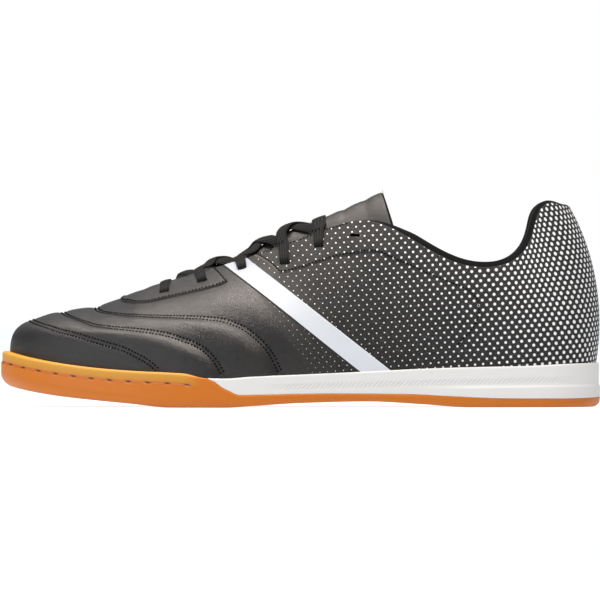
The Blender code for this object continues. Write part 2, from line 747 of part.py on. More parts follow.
def make_tongue(collection):
    """Padded tongue under the stays, arched up between them, with its free end above the collar."""
    stations = np.linspace(TONGUE_FRONT, TONGUE_END, 16)
    rows = np.array([tongue_row(s) for s in stations])
    faces = grid_faces(rows.shape[0], rows.shape[1], False)
    tongue = piece("tongue", rows.reshape(-1, 3), faces, collection)
    middle = tongue.data.polygons[len(tongue.data.polygons) // 2]
    thicken(tongue, TONGUE_THICK, -1.0 if middle.normal.z > 0 else 1.0)
    tongue.data.materials.append(finish("tongue_leather", (0.05, 0.05, 0.053), 0.55))


def make_collar_lining(collection):
    """Padded cloth inside the collar, rolled over its edge from one side of the tongue to the other."""
    stations = even_stations(UPPER_AROUND, TOP_SHARE)
    stations = stations[stations < COLLAR[-1][0]]
    stations = np.concatenate([-stations[:0:-1], stations, [COLLAR[-1][0]]])
    stations = np.concatenate([[-COLLAR[-1][0]], stations])
    head, pad, depth = (table_curve(COLLAR, c, np.abs(stations)) for c in (1, 2, 3))
    bottom = share_below(np.mod(stations, LOOP), depth)
    inner = WALL + 3 * GAP
    level = 0 * pad
    section = (
        # share of the way up, distance out, height over the top line
        (0.0, level - inner, level),
        (0.5, level - inner, level),
        (1.0, level - inner, level + GAP),
        (1.0, level - GAP, level + GAP),
        (1.0, level - 2 * GAP, 0.6 * head),
        (1.0, level - 0.6 * WALL, 0.92 * head),
        (1.0, -inner - 0.35 * pad, head),
        (1.0, -inner - 0.85 * pad, 0.6 * head),
        (1.0, -inner - pad, level),
        (0.6, -inner - pad, level),
        (0.15, -inner - 0.45 * pad, level),
    )
    rows = [wall_offset(stations, bottom + (1 - bottom) * up, out, above) for up, out, above in section]
    rows = np.array(rows).transpose(1, 0, 2)
    faces = grid_faces(rows.shape[0], rows.shape[1], True)
    count = rows.shape[1]
    faces += [tuple(range(count)), tuple(range(len(stations) * count - 1, (len(stations) - 1) * count - 1, -1))]
    piece("collar_lining", rows.reshape(-1, 3), faces, collection, finish("lining_cloth", (0.02, 0.02, 0.02), 0.9))


def ribbon(name, path, flat_normals, collection):
    """Flat lace along a path: its section is as wide as the lace, and square to each given normal."""
    ahead = np.gradient(path, axis=0)
    ahead /= np.linalg.norm(ahead, axis=1, keepdims=True)
    aside = np.cross(ahead, flat_normals)
    aside /= np.linalg.norm(aside, axis=1, keepdims=True)
    up = np.cross(aside, ahead)
    half, thick = LACE_WIDTH / 2, LACE_THICK / 2
    corners = ((-half, -thick * 0.4), (-half * 0.8, thick), (half * 0.8, thick), (half, -thick * 0.4))
    corners += ((half * 0.8, -thick), (-half * 0.8, -thick))
    rows = np.array([[p + a * c + u * h for c, h in corners] for p, a, u in zip(path, aside, up)])
    count = len(corners)
    faces = grid_faces(len(path), count, True)
    faces += [tuple(range(count)), tuple(range(len(path) * count - 1, (len(path) - 1) * count - 1, -1))]
    return piece(name, rows.reshape(-1, 3), faces, collection)


def on_stay(station, share, side):
    """Middle of a lace that lies on a stay, and the way its flat side faces."""
    station = np.array(both(station, side))
    share = np.array(share)
    above = LACE_THICK / 2 + OVERLAY_THICK + 5 * GAP
    return np.concatenate([wall_offset(station, share, above), wall_frame(station, share)[0]])


def on_tongue(station, across, side, lift=0.0):
    """Middle of a lace that lies on the tongue, and the way its flat side faces."""
    across = 1 - across if side else across
    along = tongue_arch(station + STEP, across) - tongue_arch(station - STEP, across)
    aside = tongue_arch(station, across + STEP) - tongue_arch(station, across - STEP)
    normal = np.cross(along, aside)
    normal *= np.sign(normal[2]) / np.linalg.norm(normal)
    return np.concatenate([tongue_arch(station, across) + normal * (LACE_THICK / 2 + 3 * GAP + lift), normal])


def lace_through(name, places, count, collection):
    """Lace along a smooth line through a few places, each a point and a flat direction."""
    places = np.array(places)
    steps = np.linalg.norm(np.diff(places[:, :3], axis=0), axis=1)
    along = np.concatenate([[0], np.cumsum(steps)]) / steps.sum()
    table = [(share, *place) for share, place in zip(along, places)]
    path = np.stack([table_curve(table, c, np.linspace(0, 1, count)) for c in range(1, 7)], axis=-1)
    return ribbon(name, path[:, :3], path[:, 3:], collection)


def lace_strand(name, start, end, side, from_eyelet, lift, collection):
    """One strand: from an eyelet or from under the stay, across the tongue, to the other edge of the throat."""
    station, share = start
    reach = (end - station) * STRAND_REACH
    places = [on_stay(station, share, side), on_stay(station, 0.995, side)] if from_eyelet else []
    if not from_eyelet:
        places.append(on_tongue(station + 0.45 * (end - station), 0.14, side))
    crossing = ((0.30, 0.35, 0.5), (0.50, 0.52, 1.0), (0.70, 0.75, 0.5), (0.86, 1.00, 0.0))
    if not from_eyelet:
        crossing = ((0.50, 0.83, 1.0), (0.86, 1.15, 0.0))
    for across, part, share_of_lift in crossing:
        places.append(on_tongue(station + part * reach, across, side, share_of_lift * lift))
    return lace_through(name, places, 12, collection)


def make_laces(collection):
    """Bar at the toe end, crossings between the rows, and a bar at the last row in use."""
    places = eyelet_places()
    material = finish("lace_cord", (0.015, 0.015, 0.016), 0.85)
    for number in range(EYELETS - 2):
        start, end = places[number], places[number + 1][0]
        name = f"lace_cross_{number + 1}"
        under = lace_strand(name, start, end, 0, number > 0, 0.0, collection)
        over = lace_strand(f"{name}_over", start, end, 1, number > 0, 0.8 * LACE_THICK, collection)
        boolean(under, over, "UNION")
        bpy.data.objects.remove(over, do_unlink=True)
        under.data.materials.append(material)
    for name, index in (("lace_bar_front", 0), ("lace_bar_top", EYELETS - 2)):
        station, share = places[index]
        line = [on_stay(station, share, 0), on_stay(station, 0.995, 0)]
        line += [on_tongue(station, across, 0) for across in (0.3, 0.5, 0.7)]
        line += [on_stay(station, 0.995, 1), on_stay(station, share, 1)]
        lace_through(name, line, 15, collection).data.materials.append(material)


def main():
    clear_scene()
    shoe = new_collection("indoor_soccer_shoe")
    cutters = new_collection("cutters", hidden=True)
    make_sole(shoe, cutters)
    holes = eyelet_cutters(cutters)
    make_upper(shoe, holes)
    make_insole(shoe)
    make_tongue(shoe)
    make_collar_lining(shoe)
    make_stays(shoe, holes)
    make_laces(shoe)


main()
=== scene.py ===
# %% [markdown]
# # An indoor soccer shoe, dressed around its CAD model
#
# The CAD model gives the true size and place of every piece: a hollow leather upper on a gum outsole with a
# white foam wedge, a tongue, a padded collar, lace stays and laces. Here each of those plain solids gets the
# surface of the real thing. Nothing is sculpted. Every shape is a formula of two numbers, worked out with
# numpy for a whole grid of points at once, so it can be made as fine as the eye needs.

import bmesh
import bpy
import numpy as np
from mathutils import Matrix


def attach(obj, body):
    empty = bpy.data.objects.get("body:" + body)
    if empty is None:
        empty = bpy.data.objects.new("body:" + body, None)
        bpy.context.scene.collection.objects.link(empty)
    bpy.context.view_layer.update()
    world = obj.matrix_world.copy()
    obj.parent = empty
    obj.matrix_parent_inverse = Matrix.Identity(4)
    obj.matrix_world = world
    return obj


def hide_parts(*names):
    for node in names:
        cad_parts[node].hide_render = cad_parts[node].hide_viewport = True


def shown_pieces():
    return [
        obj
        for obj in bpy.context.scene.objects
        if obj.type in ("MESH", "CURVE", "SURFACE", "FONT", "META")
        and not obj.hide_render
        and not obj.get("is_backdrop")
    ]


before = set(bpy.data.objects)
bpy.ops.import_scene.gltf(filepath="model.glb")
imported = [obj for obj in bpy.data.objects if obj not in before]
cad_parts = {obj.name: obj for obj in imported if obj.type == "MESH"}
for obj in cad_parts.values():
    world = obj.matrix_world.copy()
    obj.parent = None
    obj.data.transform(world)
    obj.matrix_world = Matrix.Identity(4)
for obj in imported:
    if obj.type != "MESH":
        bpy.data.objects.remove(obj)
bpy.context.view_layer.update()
print("nodes:", ", ".join(sorted(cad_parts)))

# %% [markdown]
# ## The last
#
# A shoe is built on a last, a solid foot of wood or plastic, and all its pieces follow that one form. So the
# last comes first. Seventeen stations run from the heel to the toe. At each, a curve climbs the wall from the
# foot line, where the upper meets the sole, to the top line, which is the collar behind and the throat in
# front. Lengths are in metres. The toe points to -X, the outer side of this left shoe to -Y, and the origin
# lies on the floor under the heel.

# %% Driving sizes
LENGTH = 0.290
BALL_WIDTH = 0.098
HEEL_WIDTH = 0.072
COLLAR_WIDTH = 0.065
THROAT_WIDTH = 0.025
HEEL_HEIGHT = 0.0967
ANKLE_HEIGHT = 0.0675
INSTEP_HEIGHT = 0.090
HEEL_BACK = 0.036
SOLE_HEIGHT = 0.0215
TOE_OVERHANG = 0.0054
WALL = 0.0022
GAP = 0.0003
MM = 0.001

# %% Tables of the last
# Foot line: along the shoe from the heel (share of LENGTH), the width that the row follows, and the shares of
# it on the outer and inner side
FOOT_LINE = (
    (0.0082, HEEL_WIDTH, 0.000, 0.000),
    (0.0142, HEEL_WIDTH, 0.181, 0.181),
    (0.0309, HEEL_WIDTH, 0.326, 0.326),
    (0.0610, HEEL_WIDTH, 0.424, 0.424),
    (0.1028, HEEL_WIDTH, 0.472, 0.468),
    (0.1529, HEEL_WIDTH, 0.493, 0.479),
    (0.2130, HEEL_WIDTH, 0.504, 0.465),
    (0.2799, BALL_WIDTH, 0.378, 0.332),
    (0.3467, BALL_WIDTH, 0.393, 0.327),
    (0.4052, BALL_WIDTH, 0.418, 0.342),
    (0.4637, BALL_WIDTH, 0.449, 0.372),
    (0.5422, BALL_WIDTH, 0.485, 0.423),
    (0.6258, BALL_WIDTH, 0.505, 0.474),
    (0.7210, BALL_WIDTH, 0.474, 0.500),
    (0.8346, BALL_WIDTH, 0.352, 0.454),
    (0.9348, BALL_WIDTH, 0.173, 0.316),
    (0.9850, BALL_WIDTH, -0.082, 0.082),
)
# Top line: along, the width it follows and half of the opening as a share of it, the shift of its middle to
# the inner side (share of BALL_WIDTH), the height it follows and the share of that height
TOP_LINE = (
    (0.0503, COLLAR_WIDTH, 0.000, 0.000, HEEL_HEIGHT, 1.000),
    (0.0610, COLLAR_WIDTH, 0.131, 0.000, HEEL_HEIGHT, 1.003),
    (0.0827, COLLAR_WIDTH, 0.238, 0.000, HEEL_HEIGHT, 1.016),
    (0.1036, COLLAR_WIDTH, 0.315, 0.000, HEEL_HEIGHT, 0.967),
    (0.1186, COLLAR_WIDTH, 0.385, 0.000, HEEL_HEIGHT, 0.827),
    (0.1529, COLLAR_WIDTH, 0.454, 0.000, ANKLE_HEIGHT, 1.030),
    (0.2130, COLLAR_WIDTH, 0.500, 0.000, ANKLE_HEIGHT, 1.000),
    (0.2765, COLLAR_WIDTH, 0.485, 0.000, ANKLE_HEIGHT, 1.096),
    (0.3383, COLLAR_WIDTH, 0.385, 0.002, INSTEP_HEIGHT, 0.940),
    (0.3968, THROAT_WIDTH, 0.700, 0.010, INSTEP_HEIGHT, 1.000),
    (0.4586, THROAT_WIDTH, 0.500, 0.020, INSTEP_HEIGHT, 0.952),
    (0.5505, THROAT_WIDTH, 0.420, 0.030, INSTEP_HEIGHT, 0.844),
    (0.6475, THROAT_WIDTH, 0.380, 0.040, INSTEP_HEIGHT, 0.744),
    (0.7210, THROAT_WIDTH, 0.320, 0.050, INSTEP_HEIGHT, 0.678),
    (0.7435, THROAT_WIDTH, 0.208, 0.052, INSTEP_HEIGHT, 0.656),
    (0.7497, THROAT_WIDTH, 0.096, 0.052, INSTEP_HEIGHT, 0.648),
    (0.7510, THROAT_WIDTH, 0.000, 0.052, INSTEP_HEIGHT, 0.646),
)
# Wall curve: swell above the foot line and reach below the top line (shares of BALL_WIDTH), and how high and
# how low those two handles stand (shares of the wall's height)
WALL_CURVE = (
    # swell, rise, reach, drop
    (0.061, 0.38, 0.117, 0.25),
    (0.059, 0.38, 0.112, 0.25),
    (0.051, 0.38, 0.097, 0.25),
    (0.041, 0.36, 0.082, 0.28),
    (0.036, 0.35, 0.066, 0.30),
    (0.031, 0.35, 0.046, 0.30),
    (0.031, 0.35, 0.041, 0.30),
    (0.031, 0.35, 0.056, 0.30),
    (0.033, 0.35, 0.102, 0.28),
    (0.036, 0.36, 0.173, 0.22),
    (0.036, 0.38, 0.235, 0.20),
    (0.036, 0.42, 0.265, 0.18),
    (0.034, 0.48, 0.285, 0.18),
    (0.032, 0.58, 0.320, 0.30),
    (0.026, 0.68, 0.400, 0.46),
    (0.018, 0.76, 0.520, 0.57),
    (0.014, 0.71, 0.592, 0.555),
)
# Sole: height of the tread, of the seat under the upper and of the rim round it, and the round of the lower
# edge (shares of SOLE_HEIGHT), and how far it stands out past the foot line (share of TOE_OVERHANG)
SOLE = (
    # along, tread, seat, rim, roll, overhang
    (0.000, 0.000, 0.814, 1.000, 0.160, 0.37),
    (0.060, 0.000, 0.800, 0.972, 0.140, 0.33),
    (0.130, 0.000, 0.763, 0.926, 0.116, 0.33),
    (0.215, 0.000, 0.726, 0.902, 0.102, 0.33),
    (0.300, 0.074, 0.679, 0.865, 0.093, 0.37),
    (0.390, 0.135, 0.623, 0.805, 0.093, 0.41),
    (0.500, 0.102, 0.558, 0.740, 0.093, 0.44),
    (0.580, 0.037, 0.512, 0.693, 0.102, 0.52),
    (0.625, 0.000, 0.484, 0.651, 0.116, 0.56),
    (0.655, 0.000, 0.474, 0.660, 0.140, 0.61),
    (0.690, 0.000, 0.493, 0.763, 0.163, 0.67),
    (0.715, 0.000, 0.512, 0.786, 0.177, 0.70),
    (0.770, 0.070, 0.558, 0.819, 0.209, 0.74),
    (0.830, 0.145, 0.637, 0.879, 0.233, 0.78),
    (0.895, 0.235, 0.758, 0.990, 0.265, 0.83),
    (0.950, 0.350, 0.905, 1.130, 0.262, 0.93),
    (1.000, 0.500, 1.090, 1.310, 0.240, 0.68),
)
# Joint between the gum outsole and the white midsole: along, and its height as a share of SOLE_HEIGHT
SPLIT = (
    (-0.050, 0.250),
    (0.060, 0.195),
    (0.160, 0.200),
    (0.250, 0.247),
    (0.330, 0.298),
    (0.460, 0.312),
    (0.570, 0.288),
    (0.600, 0.282),
    (0.619, 0.377),
    (0.631, 0.465),
    (0.644, 0.591),
    (0.655, 0.665),
    (0.662, 1.800),
)
# Collar lining: station, height of its roll over the top line, thickness of its padding, depth inside
COLLAR = (
    (0.0, 0.0022, 0.0045, 0.030),
    (2.5, 0.0024, 0.0055, 0.030),
    (4.0, 0.0030, 0.0060, 0.026),
    (7.0, 0.0037, 0.0055, 0.024),
    (7.6, 0.0037, 0.0030, 0.020),
    (8.0, 0.0030, 0.0013, 0.015),
    (9.0, 0.0016, 0.0012, 0.010),
)
TOE = len(FOOT_LINE) - 1
LOOP = 2 * TOE
STEP = 1e-4
print("stations on each side:", TOE + 1)

# %% [markdown]
# Two kinds of curve join the rows of these tables. Round the shoe runs a closed cubic spline, because the
# foot line and the top line have no ends. Along the shoe runs a curve that never overshoots its rows, so a
# flat heel stays flat.

# %% Curves through the tables


def loop_curve(values, at):
    """Closed cubic spline. Its bends solve: bend before + 4 x bend + bend after = 6 x second difference."""
    values = np.asarray(values, float)
    count = len(values)
    system = 4 * np.eye(count) + np.roll(np.eye(count), 1, 0) + np.roll(np.eye(count), -1, 0)
    bend = np.linalg.solve(system, 6 * (np.roll(values, 1, 0) - 2 * values + np.roll(values, -1, 0)))
    low = np.floor(at).astype(int)
    part = np.asarray(at) - low
    part = part.reshape(part.shape + (1,) * (values.ndim - 1))
    low, high = low % count, (low + 1) % count
    near, far = 1 - part, part
    line = near * values[low] + far * values[high]
    return line + ((near**3 - near) * bend[low] + (far**3 - far) * bend[high]) / 6


def table_curve(table, column, at):
    """Cubic from row to row of a table. The slope at a row is the harmonic mean of those beside it."""
    along = np.array([row[0] for row in table])
    values = np.array([row[column] for row in table])
    slope = np.diff(values) / np.diff(along)
    tangent = np.zeros(len(values))
    same_way = slope[:-1] * slope[1:] > 0
    product = np.where(same_way, slope[:-1] * slope[1:], 0.0)
    total = np.where(same_way, slope[:-1] + slope[1:], 1.0)
    tangent[1:-1] = 2 * product / total
    tangent[0], tangent[-1] = slope[0], slope[-1]
    at = np.clip(at, along[0], along[-1])
    low = np.clip(np.searchsorted(along, at, side="right") - 1, 0, len(along) - 2)
    width = along[low + 1] - along[low]
    part = (at - along[low]) / width
    rise = values[low + 1] - values[low]
    lead, trail = width * tangent[low], width * tangent[low + 1]
    bow = part * (1 - part) * (lead * (1 - part) - trail * part + rise * (2 * part - 1))
    return values[low] + rise * part + bow


def way_along(line):
    """Distance travelled to each point of a line."""
    return np.concatenate([[0], np.cumsum(np.linalg.norm(np.diff(line, axis=0), axis=1))])


def both_sides(outer, inner):
    """Station values round the whole loop: heel, outer side, toe, inner side."""
    return np.concatenate([outer, inner[-2:0:-1]])


def along_to_x(share):
    return HEEL_BACK - share * LENGTH


def x_to_along(x):
    return (HEEL_BACK - x) / LENGTH


def unit(vectors):
    """Each vector over its own length."""
    return vectors / np.maximum(np.linalg.norm(vectors, axis=-1, keepdims=True), 1e-12)


def ease(value, low, high):
    """Smooth step: 0 below low, 1 above high, and 3 t^2 - 2 t^3 between them."""
    t = np.clip((np.asarray(value, float) - low) / (high - low), 0, 1)
    return t * t * (3 - 2 * t)


def last_columns():
    """Every column of the tables as one array, a row for each station round the loop."""
    x = [np.array([along_to_x(row[0]) for row in table]) for table in (FOOT_LINE, TOP_LINE)]
    outer = np.array([-row[1] * row[2] for row in FOOT_LINE])
    inner = np.array([row[1] * row[3] for row in FOOT_LINE])
    half = np.array([row[1] * row[2] for row in TOP_LINE])
    middle = np.array([BALL_WIDTH * row[3] for row in TOP_LINE])
    height = np.array([row[4] * row[5] for row in TOP_LINE])
    curve = np.array(WALL_CURVE) * (BALL_WIDTH, 1, BALL_WIDTH, 1)
    sides = [(x[0], x[0]), (outer, inner), (x[1], x[1]), (middle - half, middle + half), (height, height)]
    sides += [(column, column) for column in curve.T]
    return np.stack([both_sides(*side) for side in sides], axis=-1)


LAST = last_columns()


def sole_height(name, along):
    """Height of the tread, seat or rim, or the round of the lower edge, in metres."""
    names = ("tread", "seat", "rim", "roll")
    return table_curve(SOLE, 1 + names.index(name), along) * SOLE_HEIGHT


def wall_point(station, share):
    """Cubic Bezier in the upright plane through the foot point (share 0) and the top point (share 1)."""
    station, share = np.broadcast_arrays(np.asarray(station, float), np.asarray(share, float))
    columns = np.moveaxis(loop_curve(LAST, station), -1, 0)
    foot_x, foot_y, top_x, top_y, top_z, swell, rise, reach, drop = columns
    foot = np.stack([foot_x, foot_y, sole_height("seat", x_to_along(foot_x)) + GAP], axis=-1)
    top = np.stack([top_x, top_y, top_z], axis=-1)
    out = unit((foot - top) * (1, 1, 0))
    tall = (top - foot)[..., 2:]
    up = np.array([0.0, 0.0, 1.0])
    low = foot + out * swell[..., None] + up * tall * rise[..., None]
    high = top + out * reach[..., None] - up * tall * drop[..., None]
    t = share[..., None]
    rest = 1 - t
    return rest**3 * foot + 3 * rest**2 * t * low + 3 * rest * t**2 * high + t**3 * top


def wall_frame(station, share):
    """Outward normal and climbing direction of the wall, by small differences."""
    share = np.clip(share, STEP, 1 - STEP)
    climb = unit(wall_point(station, share + STEP) - wall_point(station, share - STEP))
    ahead = wall_point(station + STEP, share) - wall_point(station - STEP, share)
    return unit(np.cross(climb, ahead)), climb


def wall_offset(station, share, out, above=0.0):
    """A point at a distance out from the wall, and above the top line, square to it, where share is 1."""
    station, share, out, above = np.broadcast_arrays(
        *(np.asarray(v, float) for v in (station, share, out, above))
    )
    normal, climb = wall_frame(station, share)
    brow = np.cross(normal, wall_point(station + STEP, 1.0) - wall_point(station - STEP, 1.0))
    brow = unit(brow * np.sign(np.sum(brow * climb, axis=-1, keepdims=True)))
    return wall_point(station, share) + normal * out[..., None] + brow * above[..., None]


def share_below(stations, distance):
    """Share of the wall curve at a distance below the top line, measured down the wall."""
    stations = np.asarray(stations, float)
    shares = np.linspace(0.3, 1.0, 141)
    line = wall_point(stations[:, None], shares)
    steps = np.linalg.norm(np.diff(line, axis=1), axis=2)
    left = np.concatenate([np.cumsum(steps[:, ::-1], axis=1)[:, ::-1], np.zeros((len(stations), 1))], axis=1)
    wanted = np.broadcast_to(distance, stations.shape)
    return np.array([np.interp(-w, -row, shares) for w, row in zip(wanted, left)])


def even_stations(count, top_share):
    """Stations round the shoe, evenly spaced along a mix of the foot line and the top line."""
    fine = np.linspace(0, TOE, 60 * TOE + 1)
    foot = np.linalg.norm(np.diff(wall_point(fine, 0.0), axis=0), axis=1)
    top = np.linalg.norm(np.diff(wall_point(fine, 1.0), axis=0), axis=1)
    travelled = np.concatenate([[0], np.cumsum(foot * (1 - top_share) + top * top_share)])
    outer = np.interp(np.linspace(0, travelled[-1], count + 1), travelled, fine)
    return np.concatenate([outer, LOOP - outer[-2:0:-1]])


climbs = np.ptp(wall_point(13.0, np.linspace(0, 1, 9))[:, 2])
print("the wall at the ball climbs", round(climbs / MM, 1), "mm")

# %% [markdown]
# ## From a grid of points to a mesh
#
# Each piece below is one or more grids of points. A few small helpers turn them into closed meshes. One
# numbers the corners of every quad of a grid. Another puts points and quads into a mesh, with a UV map or
# named values where a material needs them. A third gives a sheet a thickness that fades at its edge, which
# is how cut leather, a tongue or a printed film ends.

# %% Mesh helpers


def grid_quads(rows, columns, round_columns=False, round_rows=False, first=0):
    """Corners of the quads of a grid stored row by row. A round grid joins its last line to its first."""
    r = np.arange(rows if round_rows else rows - 1)[:, None]
    c = np.arange(columns if round_columns else columns - 1)[None, :]
    above, right = (r + 1) % rows, (c + 1) % columns
    corners = (r * columns + c, r * columns + right, above * columns + right, above * columns + c)
    return np.stack(np.broadcast_arrays(*corners), axis=-1).reshape(-1, 4) + first


def closed_object(name, points, faces):
    """A new mesh object with its faces turned outwards."""
    mesh = bpy.data.meshes.new(name)
    mesh.from_pydata(np.asarray(points).reshape(-1, 3).tolist(), [], [list(map(int, f)) for f in faces])
    built = bmesh.new()
    built.from_mesh(mesh)
    bmesh.ops.recalc_face_normals(built, faces=built.faces)
    built.to_mesh(mesh)
    built.free()
    made = bpy.data.objects.new(name, mesh)
    bpy.context.scene.collection.objects.link(made)
    return made


def tube_faces(rows, columns):
    """Faces of a tube stored ring by ring, closed by a flat face at each end."""
    faces = [tuple(q) for q in grid_quads(rows, columns, round_columns=True)]
    last = (rows - 1) * columns
    return [*faces, tuple(range(columns)), tuple(range(last + columns - 1, last - 1, -1))]


def make_piece(name, points, faces, material, uv=None, values=None, sharp=40):
    """A visible piece that rides on the shoe's one body, with its UV map or its stored values."""
    made = closed_object(name, points, faces)
    mesh = made.data
    if uv is not None:
        corner = np.empty(len(mesh.loops), np.int32)
        mesh.loops.foreach_get("vertex_index", corner)
        layer = mesh.uv_layers.new(name="UVMap")
        layer.data.foreach_set("uv", np.asarray(uv).reshape(-1, 2)[corner].ravel())
    for key, value in (values or {}).items():
        mesh.attributes.new(key, "FLOAT", "POINT").data.foreach_set("value", np.asarray(value, float).ravel())
    mesh.shade_smooth()
    mesh.set_sharp_from_angle(angle=np.radians(sharp))
    mesh.materials.append(material)
    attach(made, "root")
    print(f"{name}: {len(mesh.polygons)} faces")
    return made


def dress(piece, slot, *nodes):
    """Hides the CAD nodes that the piece stands for. The slot argument is not used."""
    if nodes:
        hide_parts(*nodes)
    return piece


def grid_normals(grid):
    """Unit normal at each point of a grid: the cross product of its two differences."""
    return unit(np.cross(np.gradient(grid, axis=1), np.gradient(grid, axis=0)))


def edge_round(rows, columns, reach_rows, reach_columns):
    """Thickness share over a grid: a quarter circle from 0 at the border to 1 at a number of steps inside."""
    r = np.minimum(np.arange(rows), np.arange(rows)[::-1]) / reach_rows
    c = np.minimum(np.arange(columns), np.arange(columns)[::-1]) / reach_columns
    inside = np.minimum(np.clip(r, 0, 1)[:, None], np.clip(c, 0, 1)[None, :])
    return np.sqrt(1 - (1 - inside) ** 2)


def sheet_body(base, normal, over, under):
    """Closed body from a grid: its top is base + normal x over, its bottom base - normal x under."""
    rows, columns = base.shape[:2]
    top = base + normal * over[..., None]
    bottom = base - normal * under[..., None]
    count = rows * columns
    index = np.arange(count).reshape(rows, columns)
    ring = np.concatenate([index[0, :-1], index[:-1, -1], index[-1, :0:-1], index[:0:-1, 0]])
    after = np.roll(ring, -1)
    side = np.stack([ring, after, after + count, ring + count], axis=-1)
    faces = np.concatenate([grid_quads(rows, columns), grid_quads(rows, columns, first=count)[:, ::-1], side])
    return np.concatenate([top.reshape(-1, 3), bottom.reshape(-1, 3)]), faces


def twice(grid_values):
    """The same values for the top and the bottom of a sheet's body."""
    return np.tile(np.asarray(grid_values, float).ravel(), 2)


# %% [markdown]
# ## Finishes
#
# A finish is named for what the real one is and how it was made. Each is built on Blender's Principled
# shader. Colours are written as they look on a screen, in hex, and one function turns them into the linear
# light that the renderer works in. The others add nodes with their settings and links.

# %% Colour and node helpers


def linear(code, strength=1.0):
    """sRGB hex to linear RGBA: (c + 0.055) / 1.055 to the power 2.4, or c / 12.92 where c is small."""
    c = np.array([int(code[i : i + 2], 16) / 255 for i in (1, 3, 5)])
    c = np.where(c <= 0.04045, c / 12.92, ((c + 0.055) / 1.055) ** 2.4) * strength
    return (*c, 1.0)


def add(tree, kind, links=None, **settings):
    """A node with its settings. `links` maps an input's name or number to a value or to another's output."""
    made = tree.nodes.new(kind)
    for key, value in settings.items():
        setattr(made, key, value)
    for key, value in (links or {}).items():
        if isinstance(value, bpy.types.NodeSocket):
            tree.links.new(value, made.inputs[key])
        else:
            made.inputs[key].default_value = value
    return made


def new_finish(name, **constants):
    """An empty material: its tree, its Principled shader and its object coordinates."""
    made = bpy.data.materials.new(name)
    made.use_nodes = True
    tree = made.node_tree
    shader = tree.nodes["Principled BSDF"]
    for key, value in constants.items():
        shader.inputs[key.replace("_", " ")].default_value = value
    place = add(tree, "ShaderNodeTexCoord").outputs["Object"]
    return made, tree, shader, place


def math(tree, operation, a, b=0.0, c=0.0, clamp=False):
    """Output of a math node."""
    return add(tree, "ShaderNodeMath", {0: a, 1: b, 2: c}, operation=operation, use_clamp=clamp).outputs[0]


def vector(tree, operation, *values):
    """Outputs of a vector math node."""
    return add(tree, "ShaderNodeVectorMath", dict(enumerate(values)), operation=operation).outputs


def stored(tree, name):
    """A value that is kept with the mesh, point by point."""
    return add(tree, "ShaderNodeAttribute", attribute_name=name).outputs["Fac"]


def noise(tree, place, scale, detail):
    """Cloudy noise around 0.5, with `scale` clouds to the metre."""
    return add(tree, "ShaderNodeTexNoise", {"Vector": place, "Scale": scale, "Detail": detail}).outputs["Fac"]


def spread(tree, value, low, high, start=0.0, end=1.0, way="LINEAR"):
    """Runs from start to end while the value runs from low to high, and stays there beyond them."""
    links = {0: value, 1: low, 2: high, 3: start, 4: end}
    return add(tree, "ShaderNodeMapRange", links, interpolation_type=way).outputs[0]


def mix_colour(tree, factor, a, b):
    """Colour a where the factor is 0, and b where it is 1."""
    made = add(tree, "ShaderNodeMix", {"Factor": factor}, data_type="RGBA")
    for socket, value in zip((made.inputs[6], made.inputs[7]), (a, b)):
        if isinstance(value, bpy.types.NodeSocket):
            tree.links.new(value, socket)
        else:
            socket.default_value = value
    return made.outputs[2]


def bump(tree, shader, height, distance, strength=1.0, under=None):
    """Bump of a height that runs from 0 to 1, whose full depth is `distance` metres."""
    links = {"Height": height, "Distance": distance, "Strength": strength}
    if under is not None:
        links["Normal"] = under
    made = add(tree, "ShaderNodeBump", links).outputs[0]
    tree.links.new(made, shader.inputs["Normal"])
    return made


# %% [markdown]
# ### Black football leather
#
# The vamp and the stays are cow leather, dyed black and polished, so they are nearly black with a soft gloss
# that comes and goes in clouds. The grain is cells of about 0.7 mm with fine wrinkles between them. Behind
# the vamp the leather is matt and printed with white dots in staggered rows, which fade out towards the toe.
# The wall carries, at each point, its distance in millimetres along and up the shoe. The print is a lattice
# worked out from those two, so it bends round the heel as a real print does.

# %% Leather finish
STITCH_PAIR = 1.9 * MM  # between the two needle lines of a quilting seam
DOT_PITCH = 3.9  # the sizes of the dots are in mm, as the place on the wall is
DOT_ROW = 2.35
DOT_TILT = 4.5  # degrees
DOT_BLUR = 0.16
SMALLEST_DOT = 0.05
GRAIN = 0.7 * MM


def dot_print(tree):
    """1 inside a dot: the nearer of two lattices, half a cell apart, is closer than the dot's radius."""
    across = stored(tree, "print_along")
    up = stored(tree, "print_up")
    radius = stored(tree, "print_dot")
    place = add(tree, "ShaderNodeCombineXYZ", {0: across, 1: up}).outputs[0]
    cell = (DOT_PITCH, 2 * DOT_ROW, 1.0)
    turned = add(tree, "ShaderNodeVectorRotate", {"Vector": place, "Angle": np.radians(DOT_TILT)}).outputs[0]
    scaled = vector(tree, "DIVIDE", turned, cell)[0]
    distances = []
    for shift in (0.25, 0.75):
        part = vector(tree, "FRACTION", vector(tree, "ADD", scaled, (shift, shift, 0.5))[0])[0]
        centred = vector(tree, "SUBTRACT", part, (0.5, 0.5, 0.5))[0]
        flat = vector(tree, "MULTIPLY", centred, (*cell[:2], 0.0))[0]
        distances.append(vector(tree, "LENGTH", flat)["Value"])
    edge = math(tree, "SUBTRACT", radius, math(tree, "MINIMUM", *distances))
    soft = math(tree, "DIVIDE", edge, DOT_BLUR)
    shown = math(tree, "GREATER_THAN", radius, SMALLEST_DOT)
    return math(tree, "MULTIPLY", math(tree, "ADD", soft, 0.5, clamp=True), shown)


